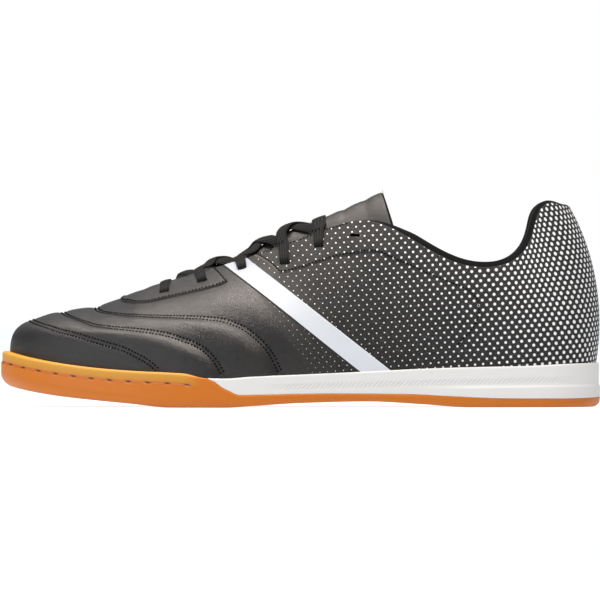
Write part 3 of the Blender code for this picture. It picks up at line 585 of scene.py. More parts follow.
def sewn_groove(tree):
    """1 along both needle lines of every quilting seam, from the distances in mm kept with the mesh."""
    lines = []
    for number in range(3):
        gap = stored(tree, f"quilt_{number + 1}")
        off = math(tree, "SUBTRACT", math(tree, "ABSOLUTE", gap), STITCH_PAIR / 2 / MM)
        lines.append(math(tree, "ABSOLUTE", off))
    nearest = math(tree, "MINIMUM", math(tree, "MINIMUM", lines[0], lines[1]), lines[2])
    return spread(tree, nearest, 0.0, 0.50, 1.0, 0.0, "SMOOTHSTEP")


def leather(name, colour, warm, roughness, printed, quilted):
    """Dyed leather. Mottling of the dye, a cell grain, and on the wall the print and the sewn grooves."""
    tint = (1.0, 0.96, 0.93, 1.0)
    made, tree, shader, place = new_finish(name, Roughness=roughness, IOR=1.58, Specular_Tint=tint)
    cloud = noise(tree, place, 70.0, 4.0)
    gloss = spread(tree, cloud, 0.3, 0.7, roughness - 0.05, roughness + 0.06)
    tone = mix_colour(tree, cloud, linear(colour), linear(warm))
    links = {"Vector": place, "Scale": 1 / GRAIN}
    cells = add(tree, "ShaderNodeTexVoronoi", links, feature="DISTANCE_TO_EDGE").outputs["Distance"]
    grain = bump(tree, shader, spread(tree, cells, 0.0, 0.25), 0.055 * MM, 1.0)
    folds = noise(tree, place, 240.0, 4.0)
    wrinkled = bump(tree, shader, folds, 0.22 * MM, 0.8, under=grain)
    if quilted:
        seam = sewn_groove(tree)
        bump(tree, shader, math(tree, "SUBTRACT", 1.0, seam), 0.06 * MM, 1.0, under=wrinkled)
    if printed:
        radius = stored(tree, "print_dot")
        matte = spread(tree, radius, 0.0, 0.28)
        # Painted glints: light grey specks in the matt zone stand in for highlights on its grain.
        glint_speck = noise(tree, place, 1500.0, 2.0)
        glint_speck = spread(tree, glint_speck, 0.55, 0.75, 0.0, 0.14)
        gloss = math(tree, "ADD", gloss, math(tree, "MULTIPLY", matte, 0.38))
        tone = mix_colour(tree, math(tree, "MULTIPLY", matte, 0.9), tone, linear("#0a0a0b"))
        tone = mix_colour(tree, math(tree, "MULTIPLY", matte, glint_speck), tone, linear("#b4b2b0"))
        dots = dot_print(tree)
        tone = mix_colour(tree, dots, tone, linear("#f1f2f4"))
        gloss = spread(tree, dots, 0.0, 1.0, gloss, 0.35)
    raw = stored(tree, "raw_edge")
    tone = mix_colour(tree, raw, tone, linear("#6f6a64"))
    tree.links.new(tone, shader.inputs["Base Color"])
    tree.links.new(gloss, shader.inputs["Roughness"])
    return made


vamp_leather = leather("printed_cow_leather", "#101012", "#1c1a19", 0.37, True, True)
stay_leather = leather("printed_stay_leather", "#121213", "#1e1c1b", 0.39, True, False)
tongue_leather = leather("split_leather_tongue", "#181818", "#242221", 0.42, False, False)
print("leather finishes:", vamp_leather.name, stay_leather.name, tongue_leather.name)

# %% [markdown]
# ### Rubber, foam, cloth and thread
#
# Gum rubber is natural rubber without carbon black. It is amber, a little translucent, and paler on the thin
# lip than on the thick wall. The white wedge is moulded EVA foam with a closed skin. Lining and laces are
# polyester knit and braid, which have hardly any gloss but a faint sheen at grazing angles. The white film
# on the side is polyurethane, pressed on hot.

# %% Other finishes
GROOVE_BELOW_RIM = 0.0053
STITCHED_FROM = 0.665  # along, ahead of which the gum has its stitched groove
STITCHED_X = -along_to_x(STITCHED_FROM)
DASH_PITCH = 9.6  # mm along the groove
DASH_LENGTH = 2.4
# The slots are coloured dark: painted shade in the dash-shaped recesses of the groove.
SLOT_REACH = 0.66  # mm, half the width of a dark slot at its middle
SLOT_TAPER = 0.27  # how fast it narrows towards its ends
RIB_PITCH = 2.1
RIBS_MIDDLE = 0.305  # along
RIB_OF_LACE = 1.32
PLAIT_PITCH = 0.9
RIB_RISE = 0.0037 / (0.526 * LENGTH)  # the rib band rises 3.7 mm on its way to the heel
RIB_BASE = 0.0097 - RIB_RISE * along_to_x(0.567)


def gum_rubber():
    """Moulded gum rubber: amber, a yellower lip, painted shade in the groove and its slots, and light
    entering it.
    """
    soak = {"Subsurface_Weight": 0.12, "Subsurface_Radius": (0.004, 0.0015, 0.0004), "Subsurface_Scale": 1.0}
    made, tree, shader, place = new_finish("moulded_gum_rubber", Roughness=0.46, IOR=1.45, **soak)
    depth = stored(tree, "below_rim")
    travelled = stored(tree, "way_round")
    ahead = math(tree, "MULTIPLY", add(tree, "ShaderNodeSeparateXYZ", {0: place}).outputs[0], -1.0)
    stitched = spread(tree, ahead, STITCHED_X, STITCHED_X + 0.008)
    lip = spread(tree, depth, 2.0, 5.6, 1.0, 0.35)
    lip = math(tree, "MULTIPLY", lip, math(tree, "LESS_THAN", depth, 5.3))
    cloud = noise(tree, place, 30.0, 3.0)
    wall = mix_colour(tree, cloud, linear("#cb6e11"), linear("#d47716"))
    tone = mix_colour(tree, math(tree, "MULTIPLY", lip, stitched), wall, linear("#d29733"))
    phase = math(tree, "SUBTRACT", math(tree, "MODULO", travelled, DASH_PITCH), DASH_PITCH / 2)
    off_line = math(tree, "ABSOLUTE", math(tree, "SUBTRACT", depth, GROOVE_BELOW_RIM / MM))
    # Painted shade: a darker orange-brown line within 0.9 mm of the groove's middle.
    edge = spread(tree, off_line, 0.3, 0.9, 0.70, 0.0)
    tone = mix_colour(tree, math(tree, "MULTIPLY", edge, stitched), tone, linear("#a04e14"))
    # Painted shade in the slots: dark brown where the dash-shaped recesses sink deepest.
    long_way = math(tree, "MULTIPLY", math(tree, "ABSOLUTE", phase), SLOT_TAPER)
    slot = math(tree, "SUBTRACT", SLOT_REACH, math(tree, "ADD", off_line, long_way))
    slot = math(tree, "MULTIPLY", math(tree, "MULTIPLY", slot, 4.0, clamp=True), stitched)
    tone = mix_colour(tree, slot, tone, linear("#632606"))
    tree.links.new(tone, shader.inputs["Base Color"])
    skin_grain = noise(tree, place, 900.0, 2.0)
    bump(tree, shader, skin_grain, 0.03 * MM, 0.6)
    return made


def moulded_foam():
    """EVA foam skin: off-white, finely grained, with a band of slanted ribs moulded along the side, their
    grooves in painted shade.
    """
    soak = {"Subsurface_Weight": 0.05, "Subsurface_Radius": (0.002, 0.002, 0.002), "Subsurface_Scale": 1.0}
    made, tree, shader, place = new_finish("moulded_eva_foam", Roughness=0.5, IOR=1.45, **soak)
    cloud = noise(tree, place, 25.0, 3.0)
    tone = mix_colour(tree, cloud, linear("#e5e4e2"), linear("#ebeae8"))
    x, _, z = add(tree, "ShaderNodeSeparateXYZ", {0: place}).outputs
    travelled = stored(tree, "way_round")
    middle = math(tree, "MULTIPLY_ADD", x, RIB_RISE, RIB_BASE)
    off = math(tree, "ABSOLUTE", math(tree, "SUBTRACT", z, middle))
    in_band = spread(tree, off, 1.0 * MM, 1.6 * MM, 1.0, 0.0)
    from_middle = math(tree, "ABSOLUTE", math(tree, "SUBTRACT", x, along_to_x(RIBS_MIDDLE)))
    in_length = spread(tree, from_middle, 60 * MM, 78 * MM, 1.0, 0.0)
    lean = math(tree, "MULTIPLY", z, -1 / MM)
    turns = math(tree, "MULTIPLY", math(tree, "ADD", travelled, lean), 2 * np.pi / RIB_PITCH)
    wave = math(tree, "MULTIPLY_ADD", math(tree, "SINE", turns), 0.5, 0.5)
    rib = math(tree, "MULTIPLY", math(tree, "MULTIPLY", in_band, in_length), wave)
    # Painted shade: the grooves between the ribs, where the bump sinks, are coloured darker.
    tone = mix_colour(tree, rib, tone, linear("#dddcda"))
    tree.links.new(tone, shader.inputs["Base Color"])
    skin_grain = noise(tree, place, 1500.0, 2.0)
    fine = bump(tree, shader, skin_grain, 0.02 * MM, 0.5)
    bump(tree, shader, math(tree, "SUBTRACT", 1.0, rib), 0.16 * MM, 1.0, under=fine)
    return made


def knit_cloth(name, colour, light, stitch, depth):
    """Warp knit: columns of loops across U and courses along V of its UV map, both in millimetres."""
    nap = {"Sheen_Weight": 0.02, "Sheen_Roughness": 0.5, "Specular_IOR_Level": 0.2}
    made, tree, shader, place = new_finish(name, Roughness=0.9, IOR=1.45, **nap)
    flat = add(tree, "ShaderNodeTexCoord").outputs["UV"]
    parts = add(tree, "ShaderNodeSeparateXYZ", {0: flat}).outputs
    column = math(tree, "SINE", math(tree, "MULTIPLY", parts[0], 2 * np.pi / stitch))
    course = math(tree, "SINE", math(tree, "MULTIPLY", parts[1], 2 * np.pi / (0.8 * stitch)))
    loops = math(tree, "MULTIPLY_ADD", math(tree, "MULTIPLY", column, course), 0.5, 0.5)
    fluff = noise(tree, place, 2200.0, 3.0)
    # Painted shade: darker in the hollows between the loops, lighter on their crowns, where the bump rises.
    tone = mix_colour(tree, loops, linear(colour), linear(light))
    tree.links.new(tone, shader.inputs["Base Color"])
    fine = bump(tree, shader, fluff, 0.06 * MM, 0.5)
    bump(tree, shader, loops, depth, 1.0, under=fine)
    return made


def flat_braid():
    """Flat lace: ribs along it, each a plait of small slanted stitches. U and V of its UV map are in mm."""
    made, tree, shader = new_finish("flat_polyester_braid", Roughness=0.85, Specular_IOR_Level=0.25)[:3]
    flat = add(tree, "ShaderNodeTexCoord").outputs["UV"]
    across, along = add(tree, "ShaderNodeSeparateXYZ", {0: flat}).outputs[:2]
    rib = math(tree, "COSINE", math(tree, "MULTIPLY", across, 2 * np.pi / RIB_OF_LACE))
    rib = math(tree, "MULTIPLY_ADD", rib, 0.5, 0.5)
    slant = math(tree, "ADD", along, math(tree, "MULTIPLY", math(tree, "ABSOLUTE", across), 0.8))
    plait = math(tree, "SINE", math(tree, "MULTIPLY", slant, 2 * np.pi / PLAIT_PITCH))
    plait = math(tree, "MULTIPLY_ADD", plait, 0.25, 0.75)
    weave_height_and_shade = math(tree, "MULTIPLY", rib, plait)
    # Painted shade: the braid is darker between its ribs and plaits, lighter on their crests.
    tree.links.new(mix_colour(tree, weave_height_and_shade, linear("#070707"), linear("#2b2928")), shader.inputs["Base Color"])
    bump(tree, shader, weave_height_and_shade, 0.18 * MM, 1.0)
    return made


def plain_finish(name, colour, roughness, grain_scale, grain_depth, **constants):
    """A single-colour finish with a fine grain."""
    made, tree, shader, place = new_finish(name, Roughness=roughness, **constants)
    cloud = noise(tree, place, grain_scale, 3.0)
    tone = mix_colour(tree, cloud, linear(colour, 0.92), linear(colour, 1.08))
    tree.links.new(tone, shader.inputs["Base Color"])
    bump(tree, shader, cloud, grain_depth, 0.6)
    return made


def pressed_film():
    """Satin white film, paler towards the sole and darker towards the top in painted shade, with a painted
    shadow along its front edge.
    """
    made, tree, shader, place = new_finish("pressed_polyurethane_film", Roughness=0.5, IOR=1.48)
    cloud = noise(tree, place, 900.0, 3.0)
    # Painted shadow: near black along the film's front edge.
    front_shadow = stored(tree, "painted_edge_shadow")
    front_shadow = spread(tree, front_shadow, 0.3, 0.7)
    # Painted shade: the base colour darkens from 28 mm to 70 mm above the floor.
    height = add(tree, "ShaderNodeSeparateXYZ", {"Vector": place}).outputs["Z"]
    height = spread(tree, height, 28 * MM, 70 * MM)
    tone = mix_colour(tree, height, linear("#dde1e7"), linear("#b1b5bc"))
    tree.links.new(mix_colour(tree, front_shadow, tone, linear("#141414")), shader.inputs["Base Color"])
    bump(tree, shader, cloud, 0.015 * MM, 0.6)
    return made


gum = gum_rubber()
foam = moulded_foam()
lining_knit = knit_cloth("black_warp_knit", "#060607", "#111112", 0.9, 0.15 * MM)
lace_braid = flat_braid()
thread = plain_finish("bonded_polyester_thread", "#050505", 0.8, 3000.0, 0.02 * MM, Specular_IOR_Level=0.1)
white_film = pressed_film()
print("finishes made:", len(bpy.data.materials))

# %% [markdown]
# ## The sewn lines of the vamp
#
# Three pairs of stitch lines quilt the forefoot. Each climbs from the sole, runs forward and crosses over the
# toe in a U. The leather puffs up between them and dips along them. Each line is listed as it is seen from
# the side, along the shoe and above the floor. The wall is searched for the point that shows there, the line
# crosses the toe at its own place, and the inner side mirrors the outer.

# %% Sewn lines
QUILT_LINES = (
    (
        # along (share of LENGTH), height above the floor
        (0.736, 0.0180),
        (0.751, 0.0217),
        (0.771, 0.0250),
        (0.797, 0.0284),
        (0.823, 0.0306),
        (0.848, 0.0328),
        (0.874, 0.0351),
        (0.900, 0.0368),
        (0.925, 0.0392),
    ),
    (
        (0.628, 0.0165),
        (0.641, 0.0225),
        (0.654, 0.0269),
        (0.674, 0.0305),
        (0.695, 0.0328),
        (0.720, 0.0351),
        (0.746, 0.0366),
        (0.797, 0.0384),
        (0.835, 0.0402),
        (0.863, 0.0428),
    ),
    (
        (0.534, 0.0173),
        (0.547, 0.0247),
        (0.559, 0.0299),
        (0.577, 0.0351),
        (0.598, 0.0388),
        (0.623, 0.0418),
        (0.649, 0.0430),
        (0.695, 0.0440),
        (0.746, 0.0448),
        (0.784, 0.0456),
        (0.813, 0.0468),
    ),
)
QUILT_CROSSINGS = (0.950, 0.897, 0.842)  # along, where each line crosses over the toe
search_lines = (np.linspace(0, TOE, 961), np.linspace(0, 1, 301))
search_stations, search_shares = np.meshgrid(*search_lines, indexing="ij")
search_points = wall_point(search_stations, search_shares)


def seen_on_wall(along, height):
    """Station and share of the wall point at a place in the side view: the nearest of a dense grid."""
    miss = (search_points[..., 0] - along_to_x(along)) ** 2 + (search_points[..., 2] - height) ** 2
    best = np.unravel_index(np.argmin(miss), miss.shape)
    return search_stations[best], search_shares[best]


def resample(stations, shares, count):
    """The same line over the wall at even distances, as stations and shares."""
    points = wall_point(stations, shares)
    travelled = way_along(points)
    table = [(share, *row) for share, row in zip(travelled / travelled[-1], zip(stations, shares))]
    at = np.linspace(0, 1, count)
    return table_curve(table, 1, at), table_curve(table, 2, at), travelled[-1]


def toe_share(along):
    """Share of the wall curve at the middle of the toe that lies at a place along the shoe."""
    shares = np.linspace(0, 1, 801)
    return np.interp(-along_to_x(along), -wall_point(float(TOE), shares)[::-1, 0], shares[::-1])


def quilt_path(rows, crossing):
    """Stations and shares of a quilting line from the outer side over the toe to the inner side."""
    found = np.array([seen_on_wall(*row) for row in rows])
    over_toe = toe_share(crossing)
    stations = np.concatenate([found[:, 0], [TOE], LOOP - found[::-1, 0]])
    heights = np.concatenate([found[:, 1], [over_toe], found[::-1, 1]])
    return resample(stations, heights, 420)[:2]


quilt_paths = [quilt_path(rows, crossing) for rows, crossing in zip(QUILT_LINES, QUILT_CROSSINGS)]
for path in quilt_paths:
    print("quilting line of", round(resample(*path, 10)[2] * 1000), "mm")

# %% [markdown]
# ## The upper
#
# The upper's outer face is a grid of about eighty thousand points round the last. A relief moves each point
# in or out by up to two millimetres: down along the sewn lines, up between them. Then come the turned top
# edge and the lining side. The dot lattice needs to know how far each point lies along and up the shoe, and
# that is stored with the mesh.

# %% Relief and print of the wall
QUILT_PUFF = 1.9 * MM
QUILT_TROUGH = 0.32 * MM
STEEP_SPAN = 4.0 * MM
SLOW_SPAN = 9.0 * MM
TROUGH_WIDTH = 2.0 * MM
BEHIND_SPAN = 23 * MM  # how far behind the third line the leather is still puffed
AHEAD_SPAN = 6 * MM  # ahead of the first line, over which the puff falls
AHEAD_LESS = 0.7
TOE_LESS = 0.60  # the puffs are flatter over the toe, and the troughs change in depth by these shares
TOE_TROUGHS = np.array([-0.85, 0.8, 1.8])
FOOT_FADE = 0.05  # shares of the wall over which the relief fades at its ends
TOP_FADE = 0.03
QUILTED_REACH = 7.6  # stations from the toe
FAR = 50.0  # mm, where a distance isn't worked out
TOE_SINK = (
    # along (share of LENGTH), how far the level top of the toe lies under the last
    (0.620, 0.0000),
    (0.660, 0.0004),
    (0.700, 0.0009),
    (0.741, 0.0010),
    (0.771, 0.0010),
    (0.800, 0.0015),
    (0.832, 0.0015),
    (0.851, 0.0016),
    (0.861, 0.0013),
    (0.871, 0.0008),
    (0.884, 0.0003),
    (0.905, 0.0000),
)
FADE_START = (0.608, 0.0703)  # along and height of the upper end of the line where the dots begin
FADE_END = (0.490, 0.0179)
DOT_SIZES = (
    # behind the fade line (mm), radius of a dot (mm)
    (0.0, 0.00),
    (3.0, 0.12),
    (9.0, 0.18),
    (20.0, 0.24),
    (40.0, 0.31),
    (55.0, 0.38),
    (76.0, 0.50),
    (97.0, 0.64),
    (142.0, 0.90),
)


def signed_gap(points, stations, shares):
    """Distance of each point to a line on the wall, positive on its ankle side, worked out in blocks."""
    line = wall_point(stations, shares)
    aside = np.cross(wall_frame(stations, shares)[0], unit(np.gradient(line, axis=0)))
    gaps = []
    for block in np.array_split(points, max(1, len(points) // 4000)):
        apart = block[:, None] - line[None]
        length = np.sqrt((apart**2).sum(-1))
        best = length.argmin(1)
        side = np.sum(apart[np.arange(len(block)), best] * aside[best], axis=-1)
        gaps.append(length.min(1) * np.sign(side))
    return np.concatenate(gaps)


def quilt_gaps(stations, points):
    """Signed distances to the three quilting lines. Away from the forefoot they are simply far."""
    flat = points.reshape(-1, 3)
    near_toe = np.abs(stations.ravel() - TOE) < QUILTED_REACH
    gaps = np.full((3, len(flat)), FAR * MM)
    for row, path in zip(gaps, quilt_paths):
        row[near_toe] = signed_gap(flat[near_toe], *path)
    gaps *= np.sign(gaps[2, np.argmin(np.abs(flat[:, 0] - along_to_x(0.55)) + 10 * (~near_toe))])
    starts = along_to_x(np.array([rows[0][0] for rows in QUILT_LINES]))[:, None]
    gaps = np.where(flat[:, 0] > starts, np.abs(gaps), gaps)
    return gaps.reshape(3, *stations.shape)


def quilt_relief(stations, gaps):
    """Pillows between the seams, P times (1 - exp -(d/span)^2) of each line, less a trough along each line.

    The leather rises steeply below a line and slowly above the next, as it does when it is drawn over a last.
    """
    span = np.where(gaps > 0, SLOW_SPAN, STEEP_SPAN)
    behind = np.exp(-((np.maximum(gaps[2], 0) / BEHIND_SPAN) ** 2))
    ahead = 1 - AHEAD_LESS * ease(-gaps[0], 0, AHEAD_SPAN)
    flat_toe = 1 - TOE_LESS * ease(-np.abs(stations - TOE), -4.5, -1.2)
    puff = QUILT_PUFF * np.prod(1 - np.exp(-((gaps / span) ** 2)), axis=0) * behind * ahead * flat_toe
    over_toe = ease(-np.abs(stations - TOE), -1.8, -0.4)
    depth = QUILT_TROUGH * (1 + np.multiply.outer(TOE_TROUGHS, over_toe))
    trough = (depth * np.exp(-((gaps / TROUGH_WIDTH) ** 2))).max(0)
    return puff - trough


def toe_sink(stations, shares):
    """How far the toe's top is pressed down: the table along the shoe, times how level the wall is."""
    level = ease(wall_frame(stations, shares)[0][..., 2], 0.45, 0.92)
    return table_curve(TOE_SINK, 1, x_to_along(wall_point(stations, shares)[..., 0])) * level


def skin(stations, shares):
    """Outer face of the upper with its relief, its normal, and its distances to the quilting lines."""
    stations, shares = np.broadcast_arrays(np.asarray(stations, float), np.asarray(shares, float))
    points, normal = wall_point(stations, shares), wall_frame(stations, shares)[0]
    gaps = quilt_gaps(stations, points)
    inside = ease(shares, 0.0, FOOT_FADE) * ease(1 - shares, 0.0, TOP_FADE)
    relief = quilt_relief(stations, gaps) * inside
    relief -= toe_sink(stations, shares)
    return points + normal * relief[..., None], normal, gaps


def print_values(stations, points):
    """Distance along and up the shoe in mm, and the radius of the dots printed there."""
    fine = np.linspace(0, LOOP, 2401)
    middle = wall_point(fine, 0.45)
    travelled = way_along(middle) / MM
    half = travelled[-1] / 2
    along = np.interp(np.mod(stations, LOOP), fine, travelled)
    along = np.where(along > half, 2 * half - along, along)
    up = points[..., 2] / MM
    fade_at = np.interp(points[..., 2], (FADE_END[1], FADE_START[1]), (FADE_END[0], FADE_START[0]))
    behind = (fade_at - x_to_along(points[..., 0])) * LENGTH / MM
    radius = table_curve(DOT_SIZES, 1, behind)
    return {"print_along": along, "print_up": up, "print_dot": radius}


# %% Upper mesh
UPPER_AROUND = 400
UPPER_LEVELS = 104
INNER_LEVELS = 8


def make_upper():
    """Outer face with its relief, a turned top edge and the inner face, joined below into one body."""
    stations = even_stations(UPPER_AROUND, 0.35)
    shares = np.linspace(0, 1, UPPER_LEVELS)
    around, up = np.meshgrid(stations, shares)
    outer, _, gaps = skin(around, up)
    turn = np.radians(np.array([25.0, 60.0, 90.0, 120.0, 155.0]))[:, None]
    middle = -WALL / 2 - toe_sink(stations, 1.0)
    edge = wall_offset(stations, 1.0, middle + np.cos(turn) * WALL / 2, np.sin(turn) * WALL * 0.3)
    down = np.linspace(1, 0, INNER_LEVELS)[:, None]
    inner = wall_offset(stations, down, -WALL - toe_sink(stations[None, :], down))
    rows = np.concatenate([outer, edge, inner])
    values = print_values(np.broadcast_to(stations, rows.shape[:2]), rows)
    far = np.full((len(rows) - UPPER_LEVELS, len(stations)), FAR)
    for number, gap in enumerate(gaps):
        values[f"quilt_{number + 1}"] = np.concatenate([gap / MM, far])
    values["print_dot"][UPPER_LEVELS:] = 0
    faces = grid_quads(len(rows), len(stations), round_columns=True, round_rows=True)
    piece = make_piece("upper_leather", rows, faces, vamp_leather, values=values, sharp=60)
    return dress(piece, "black_leather", "upper")


upper = make_upper()

# %% [markdown]
# ## Lace stays
#
# The stays are separate pieces of leather sewn over the wall on both sides of the throat. Each is laid out
# as a pattern cutter would: a lower edge and an upper edge drawn on the wall, with a grid of points stretched
# between them. The grid is lifted by the thickness of the leather and rounded off at its cut edge. The rear
# stay is skived, which means pared down to nothing, where it runs out under the collar.

# %% Lace stays
FRONT_STAY_EDGE = (
    # along (share of LENGTH), height above the floor
    (0.7916, 0.0512),
    (0.7728, 0.0502),
    (0.7494, 0.0507),
    (0.7243, 0.0521),
    (0.6959, 0.0538),
    (0.6675, 0.0554),
    (0.6424, 0.0571),
    (0.6291, 0.0583),
    (0.6190, 0.0602),
)
FRONT_STAY_START = 0.798
FRONT_STAY_BACK = 0.6441
REAR_STAY_EDGE = (
    (0.5372, 0.0647),
    (0.5200, 0.0649),
    (0.4950, 0.0668),
    (0.4700, 0.0693),
    (0.4440, 0.0715),
    (0.4170, 0.0730),
    (0.3850, 0.0744),
    (0.3650, 0.0737),
    (0.3400, 0.0703),
    (0.3170, 0.0675),
    (0.2850, 0.0633),
    (0.2500, 0.0593),
    (0.2200, 0.0551),
    (0.2060, 0.0504),
)
REAR_SEAM_TAIL = ((0.2040, 0.0460), (0.2110, 0.0402), (0.2410, 0.0300))
REAR_STAY_START = 0.5789
STAY_THICK = 1.1 * MM
REAR_THICK = 0.5 * MM
SEAM_INSET = 1.2 * MM


def wall_line(rows, count, *more):
    """Stations and shares, evenly spaced, of a line given in the side view, with ends given as they are."""
    found = [seen_on_wall(*row) for row in rows]
    stations, shares = np.array([*found, *more]).T
    return resample(stations, shares, count)[:2]


def top_station(along):
    """Station of the outer side whose top point lies at a share of the shoe's length."""
    fine = np.linspace(4, TOE - 1, 1200)
    return float(np.interp(along, x_to_along(wall_point(fine, 1.0)[:, 0]), fine))


def between(lower, upper, rows):
    """Grid of stations and shares stretched straight between two lines."""
    part = np.linspace(0, 1, rows)[:, None]
    return [low + (high - low) * part for low, high in zip(lower, upper)]


def mirrored(line):
    """A line from the middle of the toe along the outer side, continued along the inner side."""
    stations, shares = line
    return np.concatenate([stations[::-1], LOOP - stations[1:]]), np.concatenate([shares[::-1], shares[1:]])


def lay(node, stations, shares, over, raw):
    """A leather sheet on the upper's skin, as thick as given at each point of its grid."""
    base, normal, _ = skin(stations, shares)
    points, faces = sheet_body(base, normal, over, np.full(over.shape, 0.4 * MM))
    values = {key: twice(value) for key, value in print_values(stations, base).items()}
    for number in range(3):
        values[f"quilt_{number + 1}"] = np.full(len(points), FAR)
    values["raw_edge"] = twice(raw)
    piece = make_piece(f"{node}_leather", points, faces, stay_leather, values=values)
    return dress(piece, "stay_leather", node)


def front_stay_lines(count=110):
    """Lower and upper edge of the front stay's outer half, from the middle of the toe backwards."""
    found = [(float(TOE), toe_share(FRONT_STAY_START))] + [seen_on_wall(*row) for row in FRONT_STAY_EDGE]
    lower = resample(*np.array(found).T, count)[:2]
    along_top = np.linspace(TOE, top_station(FRONT_STAY_BACK), 60)
    upper = resample(along_top, np.ones(60), count)[:2]
    return lower, upper


def rear_stay_lines(count=150):
    """Lower and upper edge of the rear stay, from its front end backwards."""
    lower = wall_line(REAR_STAY_EDGE, count)
    along_top = np.linspace(top_station(REAR_STAY_START), lower[0][-1] + 0.15, 80)
    upper = resample(along_top, np.ones(80), count)[:2]
    return lower, upper


def front_thickness(stations):
    """The front stay is skived to less than half where it crosses the toe."""
    return STAY_THICK * (0.45 + 0.55 * ease(np.abs(stations - TOE), 0.3, 1.6))


def make_stays():
    """The front stay in one piece round the toe, and a rear stay on each side."""
    lower, upper = (mirrored(line) for line in front_stay_lines())
    stations, shares = between(lower, upper, 26)
    edge = edge_round(*stations.shape, 2, 2)
    ends = np.minimum(np.arange(stations.shape[1]), np.arange(stations.shape[1])[::-1])
    raw = np.broadcast_to(0.8 * (ends < 0.5), stations.shape)
    made = [lay("front_lace_stay", stations, shares, front_thickness(stations) * edge, raw)]
    stations, shares = between(*rear_stay_lines(), 30)
    steps = np.arange(stations.shape[1])
    skived = 1 - ease(steps, 85, 125)
    thick = REAR_THICK * edge_round(*stations.shape, 2, 2) * skived - 0.2 * MM * (1 - skived)
    raw = np.broadcast_to(0.6 * (steps < 1.5), stations.shape)
    for side in ("outer", "inner"):
        around = stations if side == "outer" else LOOP - stations
        made.append(lay(f"rear_lace_stay_{side}", around, shares, thick, raw))
    return made


stays = make_stays()

# %% [markdown]
# ## Eyelets
#
# The eyelets are plain slots punched through stay and wall, a little wider than the flat lace. A Boolean
# modifier with one cutter object, made of twelve slot-shaped plugs, punches all of them.

# %% Eyelet slots
EYELET_PLACES = (
    # along (share of LENGTH), height above the floor
    (0.7260, 0.0550),
    (0.6625, 0.0598),
    (0.5957, 0.0663),
    (0.5255, 0.0689),
    (0.4687, 0.0772),
    (0.4094, 0.0826),
)
EYELETS = len(EYELET_PLACES)
SLOT_LENGTH = 5.4 * MM
SLOT_WIDTH = 2.0 * MM
SLOT_SLANT = 12


def eyelet_places():
    """Station and wall share of each eyelet of the outer side, front to back."""
    return np.array([seen_on_wall(*row) for row in EYELET_PLACES]).T


def slot_plugs():
    """Twelve plugs: a stadium outline carried along the wall's normal, from outside to inside."""
    stations, shares = eyelet_places()
    stations = np.concatenate([stations, LOOP - stations])
    shares = np.concatenate([shares, shares])
    centre = wall_point(stations, shares)
    normal, climb = wall_frame(stations, shares)
    ahead = unit(np.cross(normal, climb)) * np.where(stations < TOE, 1, -1)[:, None]
    slant = np.radians(SLOT_SLANT)
    long_way = np.cos(slant) * ahead + np.sin(slant) * climb
    short_way = -np.sin(slant) * ahead + np.cos(slant) * climb
    turn = np.linspace(0, 2 * np.pi, 24, endpoint=False) + 0.001
    straight = (SLOT_LENGTH - SLOT_WIDTH) / 2 * np.sign(np.cos(turn))
    x = straight + SLOT_WIDTH / 2 * np.cos(turn)
    y = SLOT_WIDTH / 2 * np.sin(turn)
    ring = centre[:, None] + long_way[:, None] * x[:, None] + short_way[:, None] * y[:, None]
    ends = np.stack([ring + normal[:, None] * 4 * MM, ring - normal[:, None] * 5 * MM], axis=1)
    count = len(turn)
    one = grid_quads(2, count, round_columns=True)
    faces = [list(q + 2 * count * k) for k in range(len(stations)) for q in one]
    faces += [list(np.arange(count) + count * k) for k in range(2 * len(stations))]
    return closed_object("slot_plugs", ends, faces)


def cut_with(pieces, cutter, operation):
    """Runs a Boolean on each piece, keeps the result as its mesh, and drops the cutter."""
    for piece in pieces:
        modifier = piece.modifiers.new("Cut", "BOOLEAN")
        modifier.operation = operation
        modifier.solver = "MANIFOLD"
        modifier.object = cutter
        bpy.context.view_layer.update()
        graph = bpy.context.evaluated_depsgraph_get()
        evaluated = piece.evaluated_get(graph)
        mesh = bpy.data.meshes.new_from_object(evaluated, preserve_all_data_layers=True, depsgraph=graph)
        piece.modifiers.clear()
        piece.data = mesh
        print(f"{piece.name}: {len(mesh.polygons)} faces after the cut")
    bpy.data.objects.remove(cutter, do_unlink=True)


cut_with([upper, *stays], slot_plugs(), "DIFFERENCE")

# %% [markdown]
# ## A plain band of white film
#
# A single straight band of film runs from the throat back and down to the sole on each side, and breaks up
# the black. On the wall it is found level by level: the station where the side view of the wall meets a
# slanted line. Twenty-four such lines, side by side, make the sheet.

# %% White band
BAND_ALONG = 0.604
BAND_HEIGHT = 0.0688
BAND_SLOPE = 1.28  # how far it runs back for each metre it comes down
BAND_HALF = 8.2 * MM
BAND_THICK = 0.35 * MM


def band_stations(shares, offset):
    """At each share, the station where the wall meets the slanted line, moved back by an offset."""
    fine = np.linspace(7.5, 14.5, 500)
    line = wall_point(fine[None, :], shares[:, None])
    wanted = along_to_x(BAND_ALONG) + (BAND_HEIGHT - line[..., 2]) * BAND_SLOPE + offset
    miss = line[..., 0] - wanted
    return np.array([np.interp(0, row[::-1], fine[::-1]) for row in miss])


